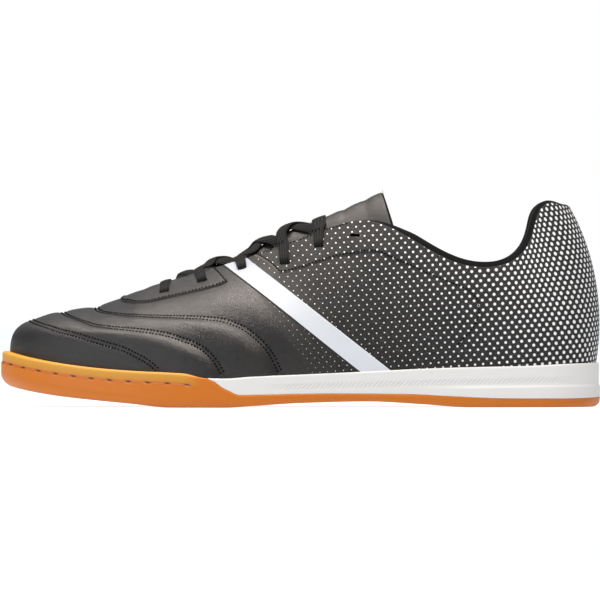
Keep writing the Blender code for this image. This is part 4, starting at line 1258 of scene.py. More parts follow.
def make_band(side):
    """The film of one side: a sheet over the dressed wall, with a painted shadow marked along its front edge.
    """
    shares = np.linspace(0.01, 0.995, 150)
    offsets = np.linspace(-BAND_HALF, BAND_HALF, 24)
    stations = np.stack([band_stations(shares, offset) for offset in offsets], axis=1)
    shares = np.repeat(shares[:, None], len(offsets), 1)
    around = stations if side == "outer" else LOOP - stations
    base, normal, _ = skin(around, shares)
    over = BAND_THICK * edge_round(*shares.shape, 1, 1)
    points, faces = sheet_body(base, normal, over, np.full(over.shape, 0.3 * MM))
    # The two front columns carry the painted shadow of the edge.
    front_shadow = np.broadcast_to(np.arange(len(offsets)) < 1.5, shares.shape)
    piece = make_piece(f"white_band_{side}", points, faces, white_film, values={"painted_edge_shadow": twice(front_shadow)})
    return dress(piece, "black_leather")


for side in ("outer", "inner"):
    make_band(side)

# %% [markdown]
# ## Stitches
#
# Thread shows as short, fat dashes that lie in the leather. One stitch is a stretched bead of 26 faces,
# and every seam is that bead repeated along a path on the wall. Six stitches to the centimetre is usual on
# an upper. Each bead is dropped onto the leather along a ray from outside, so it lies on whatever is on top
# there. All of them together are one mesh.

# %% Stitches
STITCH_LENGTH = 0.98 * MM
STITCH_GAP = 0.72 * MM
THREAD = 0.45 * MM
THREAD_PROUD = 0.05 * MM
THREAD_FLAT = 0.7  # a stitch is pressed flat to this share of its width
RAY_START = 3 * MM
THROAT_SEAM = 1.6 * MM  # below the top line


def bead():
    """A bead of unit length along X: six sides, five rings whose radius follows a half ellipse."""
    along = np.array([-0.5, -0.42, 0.0, 0.42, 0.5])
    radius = np.array([0.25, 0.75, 1.0, 0.75, 0.25])
    turn = np.linspace(0, 2 * np.pi, 6, endpoint=False)
    ring = np.stack([np.cos(turn), np.sin(turn)], axis=-1)
    around = (radius[:, None, None] * ring).reshape(-1, 2)
    return np.column_stack([np.repeat(along, len(turn)), around]), tube_faces(len(along), len(turn))


def seat_on_leather(points, normal):
    """Drops each point along its normal onto the leather: the first thing that a ray from outside meets."""
    scene, graph = bpy.context.scene, bpy.context.evaluated_depsgraph_get()
    seated = []
    for point, away in zip(points, normal):
        hit, met, *_ = scene.ray_cast(graph, point + away * RAY_START, -away, distance=2 * RAY_START)
        seated.append(np.array(met) if hit else point)
    return np.array(seated)


def stitch_rows(stations, shares, aside=0.0):
    """Centre, direction and normal of every stitch along a line on the wall, moved aside by a distance."""
    at_station, at_share, length = resample(stations, shares, 600)
    points, normal, _ = skin(at_station, at_share)
    ahead = unit(np.gradient(points, axis=0))
    points = points + np.cross(normal, ahead) * aside
    count = int(length / (STITCH_LENGTH + STITCH_GAP))
    pick = (np.linspace(0.5 / count, 1 - 0.5 / count, count) * (len(points) - 1)).round().astype(int)
    points = seat_on_leather(points[pick], normal[pick]) + normal[pick] * THREAD_PROUD
    return points, ahead[pick], normal[pick]


def make_stitches(name, rows, material, slot):
    """Every bead of every row in one mesh: centre + along x direction + round x (side and normal)."""
    centre, ahead, normal = (np.concatenate(part) for part in zip(*rows))
    aside = np.cross(normal, ahead)
    shape, bead_faces = bead()
    points = centre[:, None] + ahead[:, None] * (shape[:, :1] * STITCH_LENGTH)
    points = points + aside[:, None] * (shape[:, 1:2] * THREAD)
    points = points + normal[:, None] * (shape[:, 2:] * THREAD * THREAD_FLAT)
    count = len(shape)
    faces = [[v + count * k for v in face] for k in range(len(centre)) for face in bead_faces]
    return dress(make_piece(name, points, faces, material), slot)


def inset_seam(lower, upper, inset):
    """A line inside a patch, at a distance from its lower edge, that turns up along the patch's last side."""
    apart = np.linalg.norm(wall_point(*upper) - wall_point(*lower), axis=1)
    part = np.clip(inset / np.maximum(apart, 1e-5), 0, 1)
    length = way_along(wall_point(*lower))[-1]
    last = len(part) - 1 - max(1, round(inset / length * len(part)))
    rise = np.linspace(part[last], 1, 14)[1:]
    along = [(low + (high - low) * part)[: last + 1] for low, high in zip(lower, upper)]
    up = [low[last] + (high[last] - low[last]) * rise for low, high in zip(lower, upper)]
    return [np.concatenate(pair) for pair in zip(along, up)]


def seam_lines():
    """All seams of the upper, each as stations, shares and distance to the side."""
    seams = []
    for stations, shares in quilt_paths:
        for aside in (-STITCH_PAIR / 2, STITCH_PAIR / 2):
            seams.append((stations, shares, aside))
    lower, upper = front_stay_lines()
    front = inset_seam(lower, upper, SEAM_INSET)
    seams.append(mirrored(front))
    lower, upper = ([values[::-1] for values in line] for line in rear_stay_lines())
    rear = [values[::-1] for values in inset_seam(lower, upper, SEAM_INSET)]
    tail = np.array([seen_on_wall(*row) for row in REAR_SEAM_TAIL]).T
    tail = resample(*[np.concatenate([[line[-1]], more]) for line, more in zip(rear, tail)], 60)[:2]
    throat = np.linspace(top_station(REAR_STAY_START) - 0.1, 9.4, 60)
    for stations, shares in (rear, tail, (throat, share_below(throat, THROAT_SEAM))):
        seams += [(stations, shares), (LOOP - stations, shares)]
    return seams


make_stitches("seam_stitches", [stitch_rows(*seam) for seam in seam_lines()], thread, "black_leather")

# %% [markdown]
# ## The sole
#
# Outsole and midsole are moulded together, so they are worked out together, as one stack of rings round the
# foot line: the rounded lower edge, the side, the rim, and the step down to the seat of the upper. A slanted,
# S-shaped joint then parts the gum rubber from the white foam. A copy of the block is cut with the space
# above the joint, and the block itself loses that space.

# %% Sole rings
ARCH_RISE = 0.0028
ARCH = (0.24, 0.58)
STITCH_GROOVE = 0.6 * MM
SOLE_AROUND = 360
SIDE_LEVELS = 36
LIP_ROUND = 1.5 * MM
TREAD_PITCH = 0.0120
HEEL_TREAD = (0.062, 0.230)
BALL_TREAD = (0.600, 0.860)
TREAD_DEPTH = 1.4 * MM
CHEVRON_PITCH = 4.0 * MM
CHEVRON_WIDTH = 16 * MM
CHEVRON_DEPTH = 0.35 * MM
JOINT_BEAD = 0.45 * MM  # how far the gum stands out past the foam
GROOVE_HALF = 0.6 * MM
LIP_SET_BACK = 0.6 * MM
CREASE_HEIGHT = 0.0109
CREASE_FALL = 0.0008 / 0.24  # for each share of the length
CREASE_STEP = 0.55 * MM


def tread_height(x, y):
    """Underside without its grooves: toe spring from the table, and an arch that is higher inside."""
    along = x_to_along(x)
    waist = np.clip((along - ARCH[0]) / (ARCH[1] - ARCH[0]), 0, 1)
    inner = np.clip(0.5 + y / HEEL_WIDTH, 0, 1)
    return sole_height("tread", along) + ARCH_RISE * np.sin(np.pi * waist) ** 2 * inner**2


def seat_height(x, y):
    """Height of the seat under the upper, level across the shoe."""
    return sole_height("seat", x_to_along(x)) + 0 * y


def split_height(x):
    """Height of the joint between gum and foam."""
    return table_curve(SPLIT, 1, x_to_along(x)) * SOLE_HEIGHT


def side_relief(points, along, rim, travelled):
    """Moulded detail of the side: gum bead at the joint, dashed groove under the rim, crease of the foam."""
    x, z = points[..., 0], points[..., 2]
    split = np.minimum(split_height(x), rim + 0.02)
    gum = ease(split - z, -0.2 * MM, 0.7 * MM)
    relief = JOINT_BEAD * gum
    stitched = ease(along, STITCHED_FROM, STITCHED_FROM + 0.02)
    from_groove = z - (rim - GROOVE_BELOW_RIM)
    groove = np.exp(-((from_groove / GROOVE_HALF) ** 2))
    dash = ease(DASH_LENGTH / 2 - np.abs(np.mod(travelled / MM, DASH_PITCH) - DASH_PITCH / 2), -0.3, 0.6)
    set_back = LIP_SET_BACK * ease(from_groove, -0.5 * MM, 0.6 * MM)
    relief -= stitched * (set_back + STITCH_GROOVE * groove * (0.1 + 0.9 * dash))
    crease = CREASE_HEIGHT - CREASE_FALL * along
    below = ease(crease - z, -0.3 * MM, 0.9 * MM) * ease(-along, -0.32, -0.20)
    return relief + CREASE_STEP * (1 - gum) * below


def foot_frame(stations):
    """Foot line, its outward direction in the plan, its place along the shoe and the way from the toe."""
    foot = wall_point(stations, 0.0)
    ahead = wall_point(stations + STEP, 0.0) - wall_point(stations - STEP, 0.0)
    out = unit(np.stack([-ahead[:, 1], ahead[:, 0], 0 * ahead[:, 0]], axis=-1))
    travelled = way_along(foot)
    return foot, out, x_to_along(foot[:, 0]), np.abs(travelled - travelled[len(foot) // 2])


def ring(foot, out, distance, height):
    """A ring at a distance outside the foot line, at a height."""
    made = foot + out * distance[..., None]
    made[..., 2] = height
    return made


def sole_rings():
    """Rings from the tread's edge over the side and rim to the seat, and how far each lies below the rim."""
    stations = even_stations(SOLE_AROUND, 0.0)
    foot, out, along, travelled = foot_frame(stations)
    over = table_curve(SOLE, 5, along) * TOE_OVERHANG
    roll, rim, seat = (sole_height(name, along) for name in ("roll", "rim", "seat"))
    rings = []
    base = tread_height(*(foot + out * over[:, None])[:, :2].T) + roll
    swell = side_relief(ring(foot, out, over, base), along, rim, travelled)
    for turn in np.radians(np.linspace(0, 90, 11)):
        edge = ring(foot, out, over - roll + (roll + swell) * np.sin(turn), base)
        edge[:, 2] = tread_height(edge[:, 0], edge[:, 1]) + roll * (1 - np.cos(turn))
        rings.append(edge)
    base = rings[-1][:, 2]
    lip = LIP_ROUND * (0.5 + 0.5 * ease(along, STITCHED_FROM, STITCHED_FROM + 0.02))
    for part in np.linspace(0, 1, SIDE_LEVELS)[1:]:
        side = ring(foot, out, over, base + (rim - lip - base) * part)
        side += out * side_relief(side, along, rim, travelled)[:, None]
        rings.append(side)
    edge_out = np.linalg.norm((rings[-1] - foot) * (1, 1, 0), axis=1)
    for turn in np.radians(np.linspace(15, 90, 6)):
        rings.append(ring(foot, out, edge_out - lip * (1 - np.cos(turn)), rim - lip * (1 - np.sin(turn))))
    for distance, height in ((2 * GAP, rim - 0.2 * MM), (GAP, rim - 0.8 * MM), (GAP, seat)):
        rings.append(ring(foot, out, distance + 0 * over, height))
    rings = np.array(rings)
    return rings, (rim - rings[..., 2]) / MM, np.broadcast_to(travelled / MM, rings.shape[:2])


def ladder(edge, first, next_free, height, across):
    """Straight rungs from side to side of a ring, closed by quads, with triangles at both ends."""
    count = len(edge)
    half = count // 2
    left, right = edge[1:half], edge[: half : -1]
    shares = np.linspace(0, 1, across + 1)[None, 1:-1, None]
    points = left[:, None] * (1 - shares) + right[:, None] * shares
    points[..., 2] = height(points[..., 0], points[..., 1])
    inner = next_free + np.arange(points.shape[0] * points.shape[1]).reshape(points.shape[:2])
    rungs = np.concatenate(
        [first + np.arange(1, half)[:, None], inner, first + np.arange(count - 1, half, -1)[:, None]], axis=1
    )
    quads = np.stack([rungs[:-1, :-1], rungs[:-1, 1:], rungs[1:, 1:], rungs[1:, :-1]], axis=-1).reshape(-1, 4)
    start = [(first, b, a) for a, b in zip(rungs[0, :-1], rungs[0, 1:])]
    end = [(first + half, a, b) for a, b in zip(rungs[-1, :-1], rungs[-1, 1:])]
    return points.reshape(-1, 3), [*map(tuple, quads), *start, *end]


def tread_relief(x, y):
    """Underside with its tread: flex grooves across heel and ball, and a fine chevron pattern all over."""
    along = x_to_along(x)
    plain = tread_height(x, y)
    edge = 1 - ease(np.abs(y - 0.002), 0.030, 0.036)
    groove = np.zeros_like(x)
    for start, end in (HEEL_TREAD, BALL_TREAD):
        phase = np.mod((along - start) * LENGTH / TREAD_PITCH + 0.5, 1) - 0.5
        inside = ease(along, start - 0.01, start - 0.004) * ease(-along, -end - 0.01, -end - 0.004)
        groove = np.maximum(groove, (1 - ease(np.abs(phase) * TREAD_PITCH, 0.7 * MM, 1.2 * MM)) * inside)
    zigzag = np.abs(np.mod(y, CHEVRON_WIDTH) - CHEVRON_WIDTH / 2)
    chevron = np.sin(2 * np.pi * (x + zigzag) / CHEVRON_PITCH)
    fine = CHEVRON_DEPTH * ease(chevron, -0.2, 0.4) * (1 - groove)
    return plain + (TREAD_DEPTH * groove + fine) * edge


def sole_block():
    """The whole sole as one closed mesh, with the depth below the rim and the way round, both in mm."""
    rings, depth, travelled = sole_rings()
    count = rings.shape[1]
    points = rings.reshape(-1, 3)
    faces = [tuple(q) for q in grid_quads(len(rings), count, round_columns=True)]
    under, under_faces = ladder(rings[0], 0, len(points), tread_relief, 64)
    last_ring = (len(rings) - 1) * count
    over, over_faces = ladder(rings[-1], last_ring, len(points) + len(under), seat_height, 6)
    points = np.concatenate([points, under, over])
    rest = len(under) + len(over)
    values = {"below_rim": np.concatenate([depth.ravel(), np.full(rest, 20.0)])}
    values["way_round"] = np.concatenate([travelled.ravel(), np.zeros(rest)])
    return points, faces + under_faces + over_faces, values


def joint_space(clearance):
    """Prism above the joint: its outline follows the table of the joint, and it is wider than the sole."""
    along = np.concatenate([np.linspace(SPLIT[0][0], 0.60, 40), np.linspace(0.60, SPLIT[-1][0], 40)[1:]])
    x = along_to_x(along) + clearance
    z = split_height(along_to_x(along)) + clearance
    top = 2 * SOLE_HEIGHT
    x, z = np.append(x, x[0]), np.append(np.minimum(z, top), top)
    count = len(x)
    points = [np.stack([x, np.full(count, y), z], axis=-1) for y in (-BALL_WIDTH, BALL_WIDTH)]
    faces = [list(range(count)), list(range(2 * count - 1, count - 1, -1))]
    faces += [list(map(int, q)) for q in grid_quads(2, count, round_columns=True)]
    return make_piece("joint_space", np.concatenate(points), faces, gum)


def make_sole():
    """Gum and foam: two copies of the block, parted by the joint with a small gap between them."""
    points, faces, values = sole_block()
    outsole = make_piece("gum_outsole", points, faces, gum, values=values, sharp=50)
    midsole = make_piece("foam_midsole", points, faces, foam, values=values, sharp=50)
    cut_with([outsole], joint_space(0.0), "DIFFERENCE")
    cut_with([midsole], joint_space(0.1 * MM), "INTERSECT")
    dress(outsole, "gum_rubber", "outsole")
    dress(midsole, "white_foam", "midsole")
    return outsole, midsole


outsole, midsole = make_sole()

# %% [markdown]
# ## Tongue
#
# The tongue is a padded strip of soft leather. Its wings lie flat under the stays, its middle arches up
# between them, and its free end stands clear of the collar. The arch is a cubic curve from one top line to
# the other at each station. The body is a sheet that is thinner at its rounded edges.

# %% Tongue
TONGUE_THICK = 0.0032
TONGUE_RISE = 0.0065
TONGUE_TOP_RISE = 0.0145
TONGUE_LEAN = 0.0060
TONGUE_WING = 0.0130
TONGUE_FRONT = 14.1
TONGUE_FREE = 9.6
TONGUE_END = 8.1
TONGUE_ENTRY = 3.2
TONGUE_FULLNESS = 0.28
TONGUE_EDGE = 0.15  # its thickness at the edge, as a share
TONGUE_RIDGE = (
    # station, how much fuller the padding stands than the plain arch
    (8.40, -0.0003),
    (8.85, 0.0000),
    (9.10, 0.0012),
    (9.40, 0.0024),
    (9.70, 0.0029),
    (10.00, 0.0023),
    (10.60, 0.0022),
    (10.90, 0.0015),
    (11.20, 0.0003),
    (11.40, 0.0000),
)


def tongue_inset(station):
    """Distance of the tongue's face inside the wall's outer face: past the lining where there is one."""
    lined = ease(-np.asarray(station, float), -COLLAR[-1][0] - 0.9, -COLLAR[-1][0] + 0.1)
    return WALL + 2 * GAP + lined * (COLLAR[-1][2] + 3 * GAP)


def tongue_arch(station, across):
    """Cubic Bezier from the outer top line (across 0) to the inner one (across 1), lifted between them."""
    station, across = np.broadcast_arrays(np.asarray(station, float), np.asarray(across, float))
    inset = -tongue_inset(station) - toe_sink(station, 1.0)
    start = wall_offset(station, 1.0, inset)
    end = wall_offset(LOOP - station, 1.0, inset)
    free = np.clip((TONGUE_FREE - station) / (TONGUE_FREE - TONGUE_END), 0, 1)
    entry = np.clip((TONGUE_FRONT - station) / TONGUE_ENTRY, 0, 1)
    rise = TONGUE_RISE * entry + TONGUE_TOP_RISE * free + table_curve(TONGUE_RIDGE, 1, station)
    lift = np.stack([-TONGUE_LEAN * free**2, 0 * free, rise], axis=-1) * 4 / 3
    fullness = TONGUE_FULLNESS * (end - start)
    low, high = start + lift + fullness, end + lift - fullness
    t = across[..., None]
    rest = 1 - t
    return rest**3 * start + 3 * rest**2 * t * low + 3 * rest * t**2 * high + t**3 * end


def make_tongue():
    """A grid over wings and arch, thickened downwards, with round edges."""
    stations = np.linspace(TONGUE_FRONT, TONGUE_END, 150)
    free = np.clip((TONGUE_FREE - stations) / (TONGUE_FREE - TONGUE_END), 0, 1)
    wing = share_below(stations, TONGUE_WING * (1 - 0.85 * free))
    part = np.linspace(0, 1, 18)[None, :-1]
    shares = wing[:, None] + (1 - wing[:, None]) * part
    inset = -tongue_inset(stations)[:, None] - toe_sink(stations[:, None], shares)
    outer = wall_offset(stations[:, None], shares, inset)
    inner = wall_offset(LOOP - stations[:, None], shares, inset)
    arch = tongue_arch(stations[:, None], np.linspace(0, 1, 61)[None, :])
    grid = np.concatenate([outer, arch, inner[:, ::-1]], axis=1)
    normal = grid_normals(grid)
    normal *= np.sign(normal[:, grid.shape[1] // 2, 2]).mean()
    edge = edge_round(*grid.shape[:2], 3, 3)
    sink = 0.5 * TONGUE_THICK * (1 - edge)
    thick = TONGUE_THICK * (TONGUE_EDGE + (1 - TONGUE_EDGE) * edge)
    points, faces = sheet_body(grid, normal, -sink, thick - sink)
    piece = make_piece("tongue_padded", points, faces, tongue_leather)
    return dress(piece, "tongue_leather", "tongue")


make_tongue()

# %% [markdown]
# ## Collar
#
# Behind the tongue the collar is padded with foam and lined with black knit, which is rolled over the top
# line and sewn down. Its section has eleven handles, joined by the same closed spline as the last, and it is
# carried from one side of the tongue round the heel to the other.

# %% Collar lining
COLLAR_SECTION = (
    # share of the way up, shares of the inner gap and of the padding, height (share of the roll)
    (0.0, 1.0, 0.00, 0.00),
    (0.5, 1.0, 0.00, 0.00),
    (1.0, 1.0, 0.00, 0.05),
    (1.0, 0.1, 0.00, 0.10),
    (1.0, 0.2, 0.00, 0.60),
    (1.0, 0.5, 0.00, 0.95),
    (1.0, 1.0, 0.40, 1.02),
    (1.0, 1.0, 0.90, 0.65),
    (1.0, 1.0, 1.00, 0.00),
    (0.6, 1.0, 1.00, 0.00),
    (0.15, 1.0, 0.45, 0.00),
)
ROLL_STEPS = 6


def make_collar():
    """The padded section of the table, carried round the heel along the top line."""
    stations = np.linspace(-COLLAR[-1][0], COLLAR[-1][0], 420)
    head, pad, depth = (table_curve(COLLAR, c, np.abs(stations)) for c in (1, 2, 3))
    bottom = share_below(np.mod(stations, LOOP), depth)
    section = np.array(COLLAR_SECTION)
    at = np.arange(len(section) * ROLL_STEPS) / ROLL_STEPS
    up, gap, padded, height = np.moveaxis(loop_curve(section, at), -1, 0)
    up = np.clip(up, 0, 1)[:, None]
    out = -(gap[:, None] * (WALL + 3 * GAP) + padded[:, None] * pad)
    rows = wall_offset(stations, bottom + (1 - bottom) * up, out, height[:, None] * head)
    rows = rows.transpose(1, 0, 2)
    travelled = way_along(rows[:, 0]) / MM
    around = way_along(rows[200]) / MM
    uv = np.stack(np.broadcast_arrays(travelled[:, None], around[None, :]), axis=-1)
    piece = make_piece("collar_knit", rows, tube_faces(*rows.shape[:2]), lining_knit, uv=uv)
    return dress(piece, "lining_cloth", "collar_lining")


make_collar()

# %% [markdown]
# ## Laces
#
# One flat lace starts as a bar over the first pair of eyelets. Each half goes in through its eyelet, comes up
# under the stay, crosses the tongue, dips under the other stay and comes out of the next eyelet, row by row,
# up to the last bar. Its path is a list of places with a direction for its flat side, worked out from the
# eyelets and the tongue. A ribbed section is carried along it.

# %% Lace path
LACE_WIDTH = 0.0053
LACE_THICK = 0.0013
IN_SLOT = 0.86  # width of the lace where the slot gathers it, as a share
PRESSED = 0.9 * MM  # how much deeper the tight first row lies
FRONT_BAR_SINK = 1.3 * MM
TOP_BAR_SINK = 0.1 * MM
TOP_BAR_WIDE = 1.35
STRANDS = (
    # for each row of eyelets: share across the tongue, share of the way to the next eyelet, lift (mm)
    ((0.50, 0.60, 0.4), (0.86, 0.85, 0.2)),
    ((0.25, 0.21, 0.9), (0.50, 0.38, 1.0), (0.72, 0.55, 0.7), (0.88, 0.74, 0.3)),
    ((0.25, 0.27, 0.5), (0.50, 0.47, 1.1), (0.72, 0.66, 0.9), (0.88, 0.84, 0.3)),
    ((0.25, -0.08, 1.0), (0.50, 0.18, 0.9), (0.72, 0.47, 0.2), (0.88, 0.78, 0.1)),
)


def place(point, normal, width):
    """One row of a lace's path: point, direction of the flat side, width."""
    parts = (np.asarray(point, float).reshape(3), np.asarray(normal, float).reshape(3), [width])
    return np.concatenate(parts)


def wall_place(station, share, side, out, flat, width):
    """Place on the outer or inner wall. flat is the flat side's direction as shares of normal and climb."""
    around = LOOP - station if side else station
    normal, climb = wall_frame(np.array(around), np.array(share))
    out = out - toe_sink(np.array(around), np.array(share))
    return place(wall_point(around, share) + normal * out, normal * flat[0] + climb * flat[1], width)


def tongue_place(station, across, side, lift, sign, width=LACE_WIDTH):
    """Place over the tongue, and the way its flat side faces."""
    across = 1 - across if side else across
    along = tongue_arch(station + STEP, across) - tongue_arch(station - STEP, across)
    aside = tongue_arch(station, across + STEP) - tongue_arch(station, across - STEP)
    normal = unit(np.cross(along, aside))
    normal = normal * np.sign(normal[2])
    return place(tongue_arch(station, across) + normal * (LACE_THICK / 2 + lift), normal * sign, width)


def out_of_eyelet(station, share, side, sign):
    """From inside the wall out through the slot and up over the edge of the throat."""
    stay = REAR_THICK + (STAY_THICK - REAR_THICK) * ease(station, 11.3, 12.0)
    pressed = ease(station, 12.8, 13.4)
    on_stay = stay + LACE_THICK / 2 - PRESSED * pressed
    far = wall_point(station, 1.0) - wall_point(station, share)
    depth = np.linalg.norm(far)
    low = share_below([station], depth - 0.8 * MM)[0]
    middle = share_below([station], depth * 0.5)[0]
    narrow = IN_SLOT * LACE_WIDTH
    at_edge = on_stay + (0.2 - 0.7 * pressed) * MM
    return [
        wall_place(station, share, side, -WALL - 1.0 * MM, (0.35, sign * -0.9), 0.8 * narrow),
        wall_place(station, share, side, 0.2 * MM, (0.1, sign * -1.0), IN_SLOT * narrow),
        wall_place(station, low, side, on_stay + 0.35 * MM, (sign * 0.85, sign * -0.5), narrow),
        wall_place(station, middle, side, on_stay + 0.2 * MM, (sign, 0.0), 0.93 * LACE_WIDTH),
        wall_place(station, 0.995, side, at_edge, (sign, sign * 0.3), LACE_WIDTH),
    ]


def half_lace(side):
    """All places of one half of the lace, from the middle of the front bar to the middle of the top bar."""
    stations, shares = eyelet_places()
    first = out_of_eyelet(stations[0], shares[0], side, 1.0)
    path = [tongue_place(stations[0], across, side, -FRONT_BAR_SINK, 1.0) for across in (0.5, 0.28)]
    path += first[::-1]
    sign = -1.0
    for row in range(EYELETS - 2):
        start, end = stations[row], stations[row + 1]
        over = 0.9 * LACE_THICK * ((row + side) % 2)
        if row == 0:
            under = share_below([start + 0.2 * (end - start)], 5 * MM)[0]
            inside = -WALL - LACE_THICK / 2 - 0.2 * MM
            path.append(wall_place(start + 0.2 * (end - start), under, side, inside, (sign, 0.0), LACE_WIDTH))
            path.append(tongue_place(start + 0.45 * (end - start), 0.14, side, 0.2 * MM, sign))
        for across, part, lift in STRANDS[row]:
            stack = over * np.sin(np.pi * across)
            path.append(tongue_place(start + part * (end - start), across, side, lift * MM + stack, sign))
        side = 1 - side
        inside = -WALL - LACE_THICK / 2 - 0.3 * MM
        under = share_below([end], 6 * MM)[0]
        path.append(wall_place(start + 0.9 * (end - start), under, side, inside, (sign, 0.0), LACE_WIDTH))
        sign = -sign
        path += out_of_eyelet(end, shares[row + 1], side, sign)
    bar = stations[EYELETS - 2] + 0.05
    wide = TOP_BAR_WIDE * LACE_WIDTH
    path += [tongue_place(bar, across, side, -TOP_BAR_SINK, sign, wide) for across in (0.22, 0.5)]
    return np.array(path)


def carry_ribbon(name, path, count):
    """A flat section with four ribs on each face, carried along a smooth line through the places."""
    travelled = way_along(path[:, :3])
    table = [(share, *row) for share, row in zip(travelled / travelled[-1], path)]
    at = np.linspace(0, 1, count)
    smooth = np.stack([table_curve(table, c, at) for c in range(1, 8)], axis=-1)
    for _ in range(6):
        smooth[1:-1] = (smooth[:-2] + 2 * smooth[1:-1] + smooth[2:]) / 4
    middle, flat, width = smooth[:, :3], smooth[:, 3:6], smooth[:, 6]
    ahead = unit(np.gradient(middle, axis=0))
    aside = unit(np.cross(ahead, flat))
    up = np.cross(aside, ahead)
    turn = np.linspace(0, 2 * np.pi, 32, endpoint=False)
    wide = np.sign(np.cos(turn)) * np.abs(np.cos(turn)) ** 0.6
    tall = np.sign(np.sin(turn)) * np.abs(np.sin(turn)) ** 0.5
    rib = 1 + 0.18 * np.cos(4 * np.pi * wide)
    y = tall * LACE_THICK / 2 * rib
    rows = middle[:, None] + up[:, None] * y[:, None]
    rows = rows + aside[:, None] * (wide * width[:, None] / 2)[..., None]
    length = travelled[-1] / MM
    uv = np.stack(np.broadcast_arrays(wide * LACE_WIDTH / 2 / MM, (at * length)[:, None]), axis=-1)
    print(f"{name}: {length:.0f} mm of lace")
    return make_piece(name, rows, tube_faces(count, len(turn)), lace_braid, uv=uv)


# %% Laces
LACE_SECTIONS = 900
lace_nodes = ["lace_bar_front", *(f"lace_cross_{row}" for row in range(1, 5)), "lace_bar_top"]
dress(carry_ribbon("lace_from_outer_eyelet", half_lace(0), LACE_SECTIONS), "lace_cord", *lace_nodes)
dress(carry_ribbon("lace_from_inner_eyelet", half_lace(1), LACE_SECTIONS), "lace_cord")

# %% [markdown]
# ## Insole
#
# The sock liner shows through the collar. The CAD solid already has its true shape, so it stays, with a
# jersey finish that reads its own place instead of a UV map.

# %% Insole
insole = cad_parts["insole"]
insole.data.materials.clear()
insole.data.materials.append(plain_finish("insole_jersey_plain", "#2a2b2e", 0.9, 1400.0, 0.12 * MM))
print("insole finish:", insole.data.materials[0].name)

# %% [markdown]
# ## Studio
#
# The photograph is a catalogue picture: the camera looks straight at the outer side from far away, level
# with the middle of the shoe, on white. Black leather shows what it reflects, so the light is built from
# four parts: a white table, a room that is dark at the horizon and brighter overhead, one large warm lamp
# above the shoe, and a small cool one beside the toe. The lens sees table and room as plain white.

# %% Camera, floor and lights
VIEW_WIDTH = 0.2907
VIEW_CENTRE_X = -0.1092
VIEW_CENTRE_Z = 0.0516
VIEW_DISTANCE = 4.0
SENSOR = 36.0
HORIZON_GLOW = 0.14
ZENITH_GLOW = 0.60
LAMPS = (
    # name, place, size, power in watts, colour
    ("overhead", (-0.24, -0.12, 1.22), (1.2, 0.7), 24.5, (1.0, 0.93, 0.86)),
    ("left_strip", (-1.1, -0.7, 0.35), (0.5, 0.5), 2.8, (0.78, 0.89, 1.0)),
)
LIT_PLACE = (VIEW_CENTRE_X, 0.0, 0.05)
TABLE_HALF = 12.0
TABLE_GLOW = 0.86
TABLE_BOUNCE = 0.62


def area_light(name, location, size, power, colour):
    """A rectangular lamp turned towards the middle of the shoe."""
    lamp = bpy.data.lights.new(name, "AREA")
    lamp.shape = "RECTANGLE"
    lamp.size, lamp.size_y = size
    lamp.energy = power
    lamp.color = colour
    made = bpy.data.objects.new(name, lamp)
    made.location = location
    aim = np.array(LIT_PLACE) - np.array(location)
    distance = np.linalg.norm(aim)
    made.rotation_euler = (np.arccos(-aim[2] / distance), 0.0, np.arctan2(aim[1], aim[0]) - np.pi / 2)
    bpy.context.scene.collection.objects.link(made)


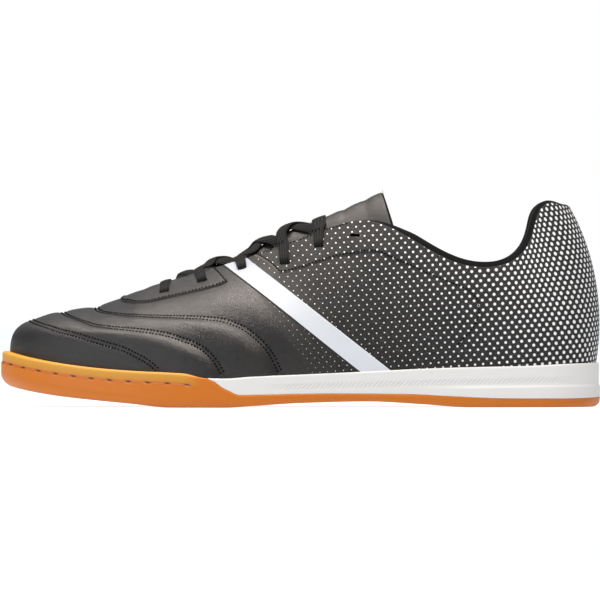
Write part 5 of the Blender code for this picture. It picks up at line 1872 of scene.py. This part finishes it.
def make_studio():
    """The table, whose glow is dimmer for the shoe than for the lens, the room round it, and the lamps."""
    mesh = bpy.data.meshes.new("studio_floor")
    corners = [(-1, -1), (1, -1), (1, 1), (-1, 1)]
    mesh.from_pydata([(x * TABLE_HALF, y * TABLE_HALF, 0) for x, y in corners], [], [(0, 1, 2, 3)])
    floor = bpy.data.objects.new("studio_floor", mesh)
    bpy.context.scene.collection.objects.link(floor)
    made, tree, shader = new_finish("matte_white_floor", Roughness=0.9)[:3]
    shader.inputs["Base Color"].default_value = linear("#959595")
    shader.inputs["Emission Color"].default_value = (0.94, 0.97, 1.0, 1.0)
    seen = add(tree, "ShaderNodeLightPath").outputs["Is Camera Ray"]
    glow = spread(tree, seen, 0.0, 1.0, TABLE_BOUNCE, TABLE_GLOW)
    tree.links.new(glow, shader.inputs["Emission Strength"])
    mesh.materials.append(made)
    floor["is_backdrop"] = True
    world = bpy.data.worlds.new("white_studio")
    bpy.context.scene.world = world
    world.use_nodes = True
    tree = world.node_tree
    look = add(tree, "ShaderNodeTexCoord").outputs["Generated"]
    up = add(tree, "ShaderNodeSeparateXYZ", {0: look}).outputs[2]
    glow = spread(tree, up, 0.0, 0.8, HORIZON_GLOW, ZENITH_GLOW)
    room = tree.nodes["Background"]
    room.inputs["Color"].default_value = (0.93, 0.96, 1.0, 1.0)
    tree.links.new(glow, room.inputs["Strength"])
    paper = add(tree, "ShaderNodeBackground", {0: (1.0, 1.0, 1.0, 1.0), 1: 1.0})
    seen = add(tree, "ShaderNodeLightPath").outputs["Is Camera Ray"]
    both = add(tree, "ShaderNodeMixShader", {0: seen, 1: room.outputs[0], 2: paper.outputs[0]})
    tree.links.new(both.outputs[0], tree.nodes["World Output"].inputs[0])
    for lamp in LAMPS:
        area_light(*lamp)


def make_camera():
    """A long lens, level with the middle of the shoe and square to its outer side."""
    lens = bpy.data.cameras.new("catalogue_camera")
    lens.sensor_width = SENSOR
    lens.lens = SENSOR * VIEW_DISTANCE / VIEW_WIDTH
    lens.clip_end = 60.0
    made = bpy.data.objects.new("catalogue_camera", lens)
    made.location = (VIEW_CENTRE_X, -VIEW_DISTANCE, VIEW_CENTRE_Z)
    made.rotation_euler = (np.pi / 2, 0.0, 0.0)
    bpy.context.scene.collection.objects.link(made)
    bpy.context.scene.camera = made


make_studio()
make_camera()
bpy.context.scene.view_settings.view_transform = "Standard"
print("lamps:", ", ".join(lamp.name for lamp in bpy.data.lights))

# %% Write the sizes and finish
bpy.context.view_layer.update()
meshes = [piece.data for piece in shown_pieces() if piece.type == "MESH"]
print("triangles:", sum(len(face.vertices) - 2 for mesh in meshes for face in mesh.polygons))
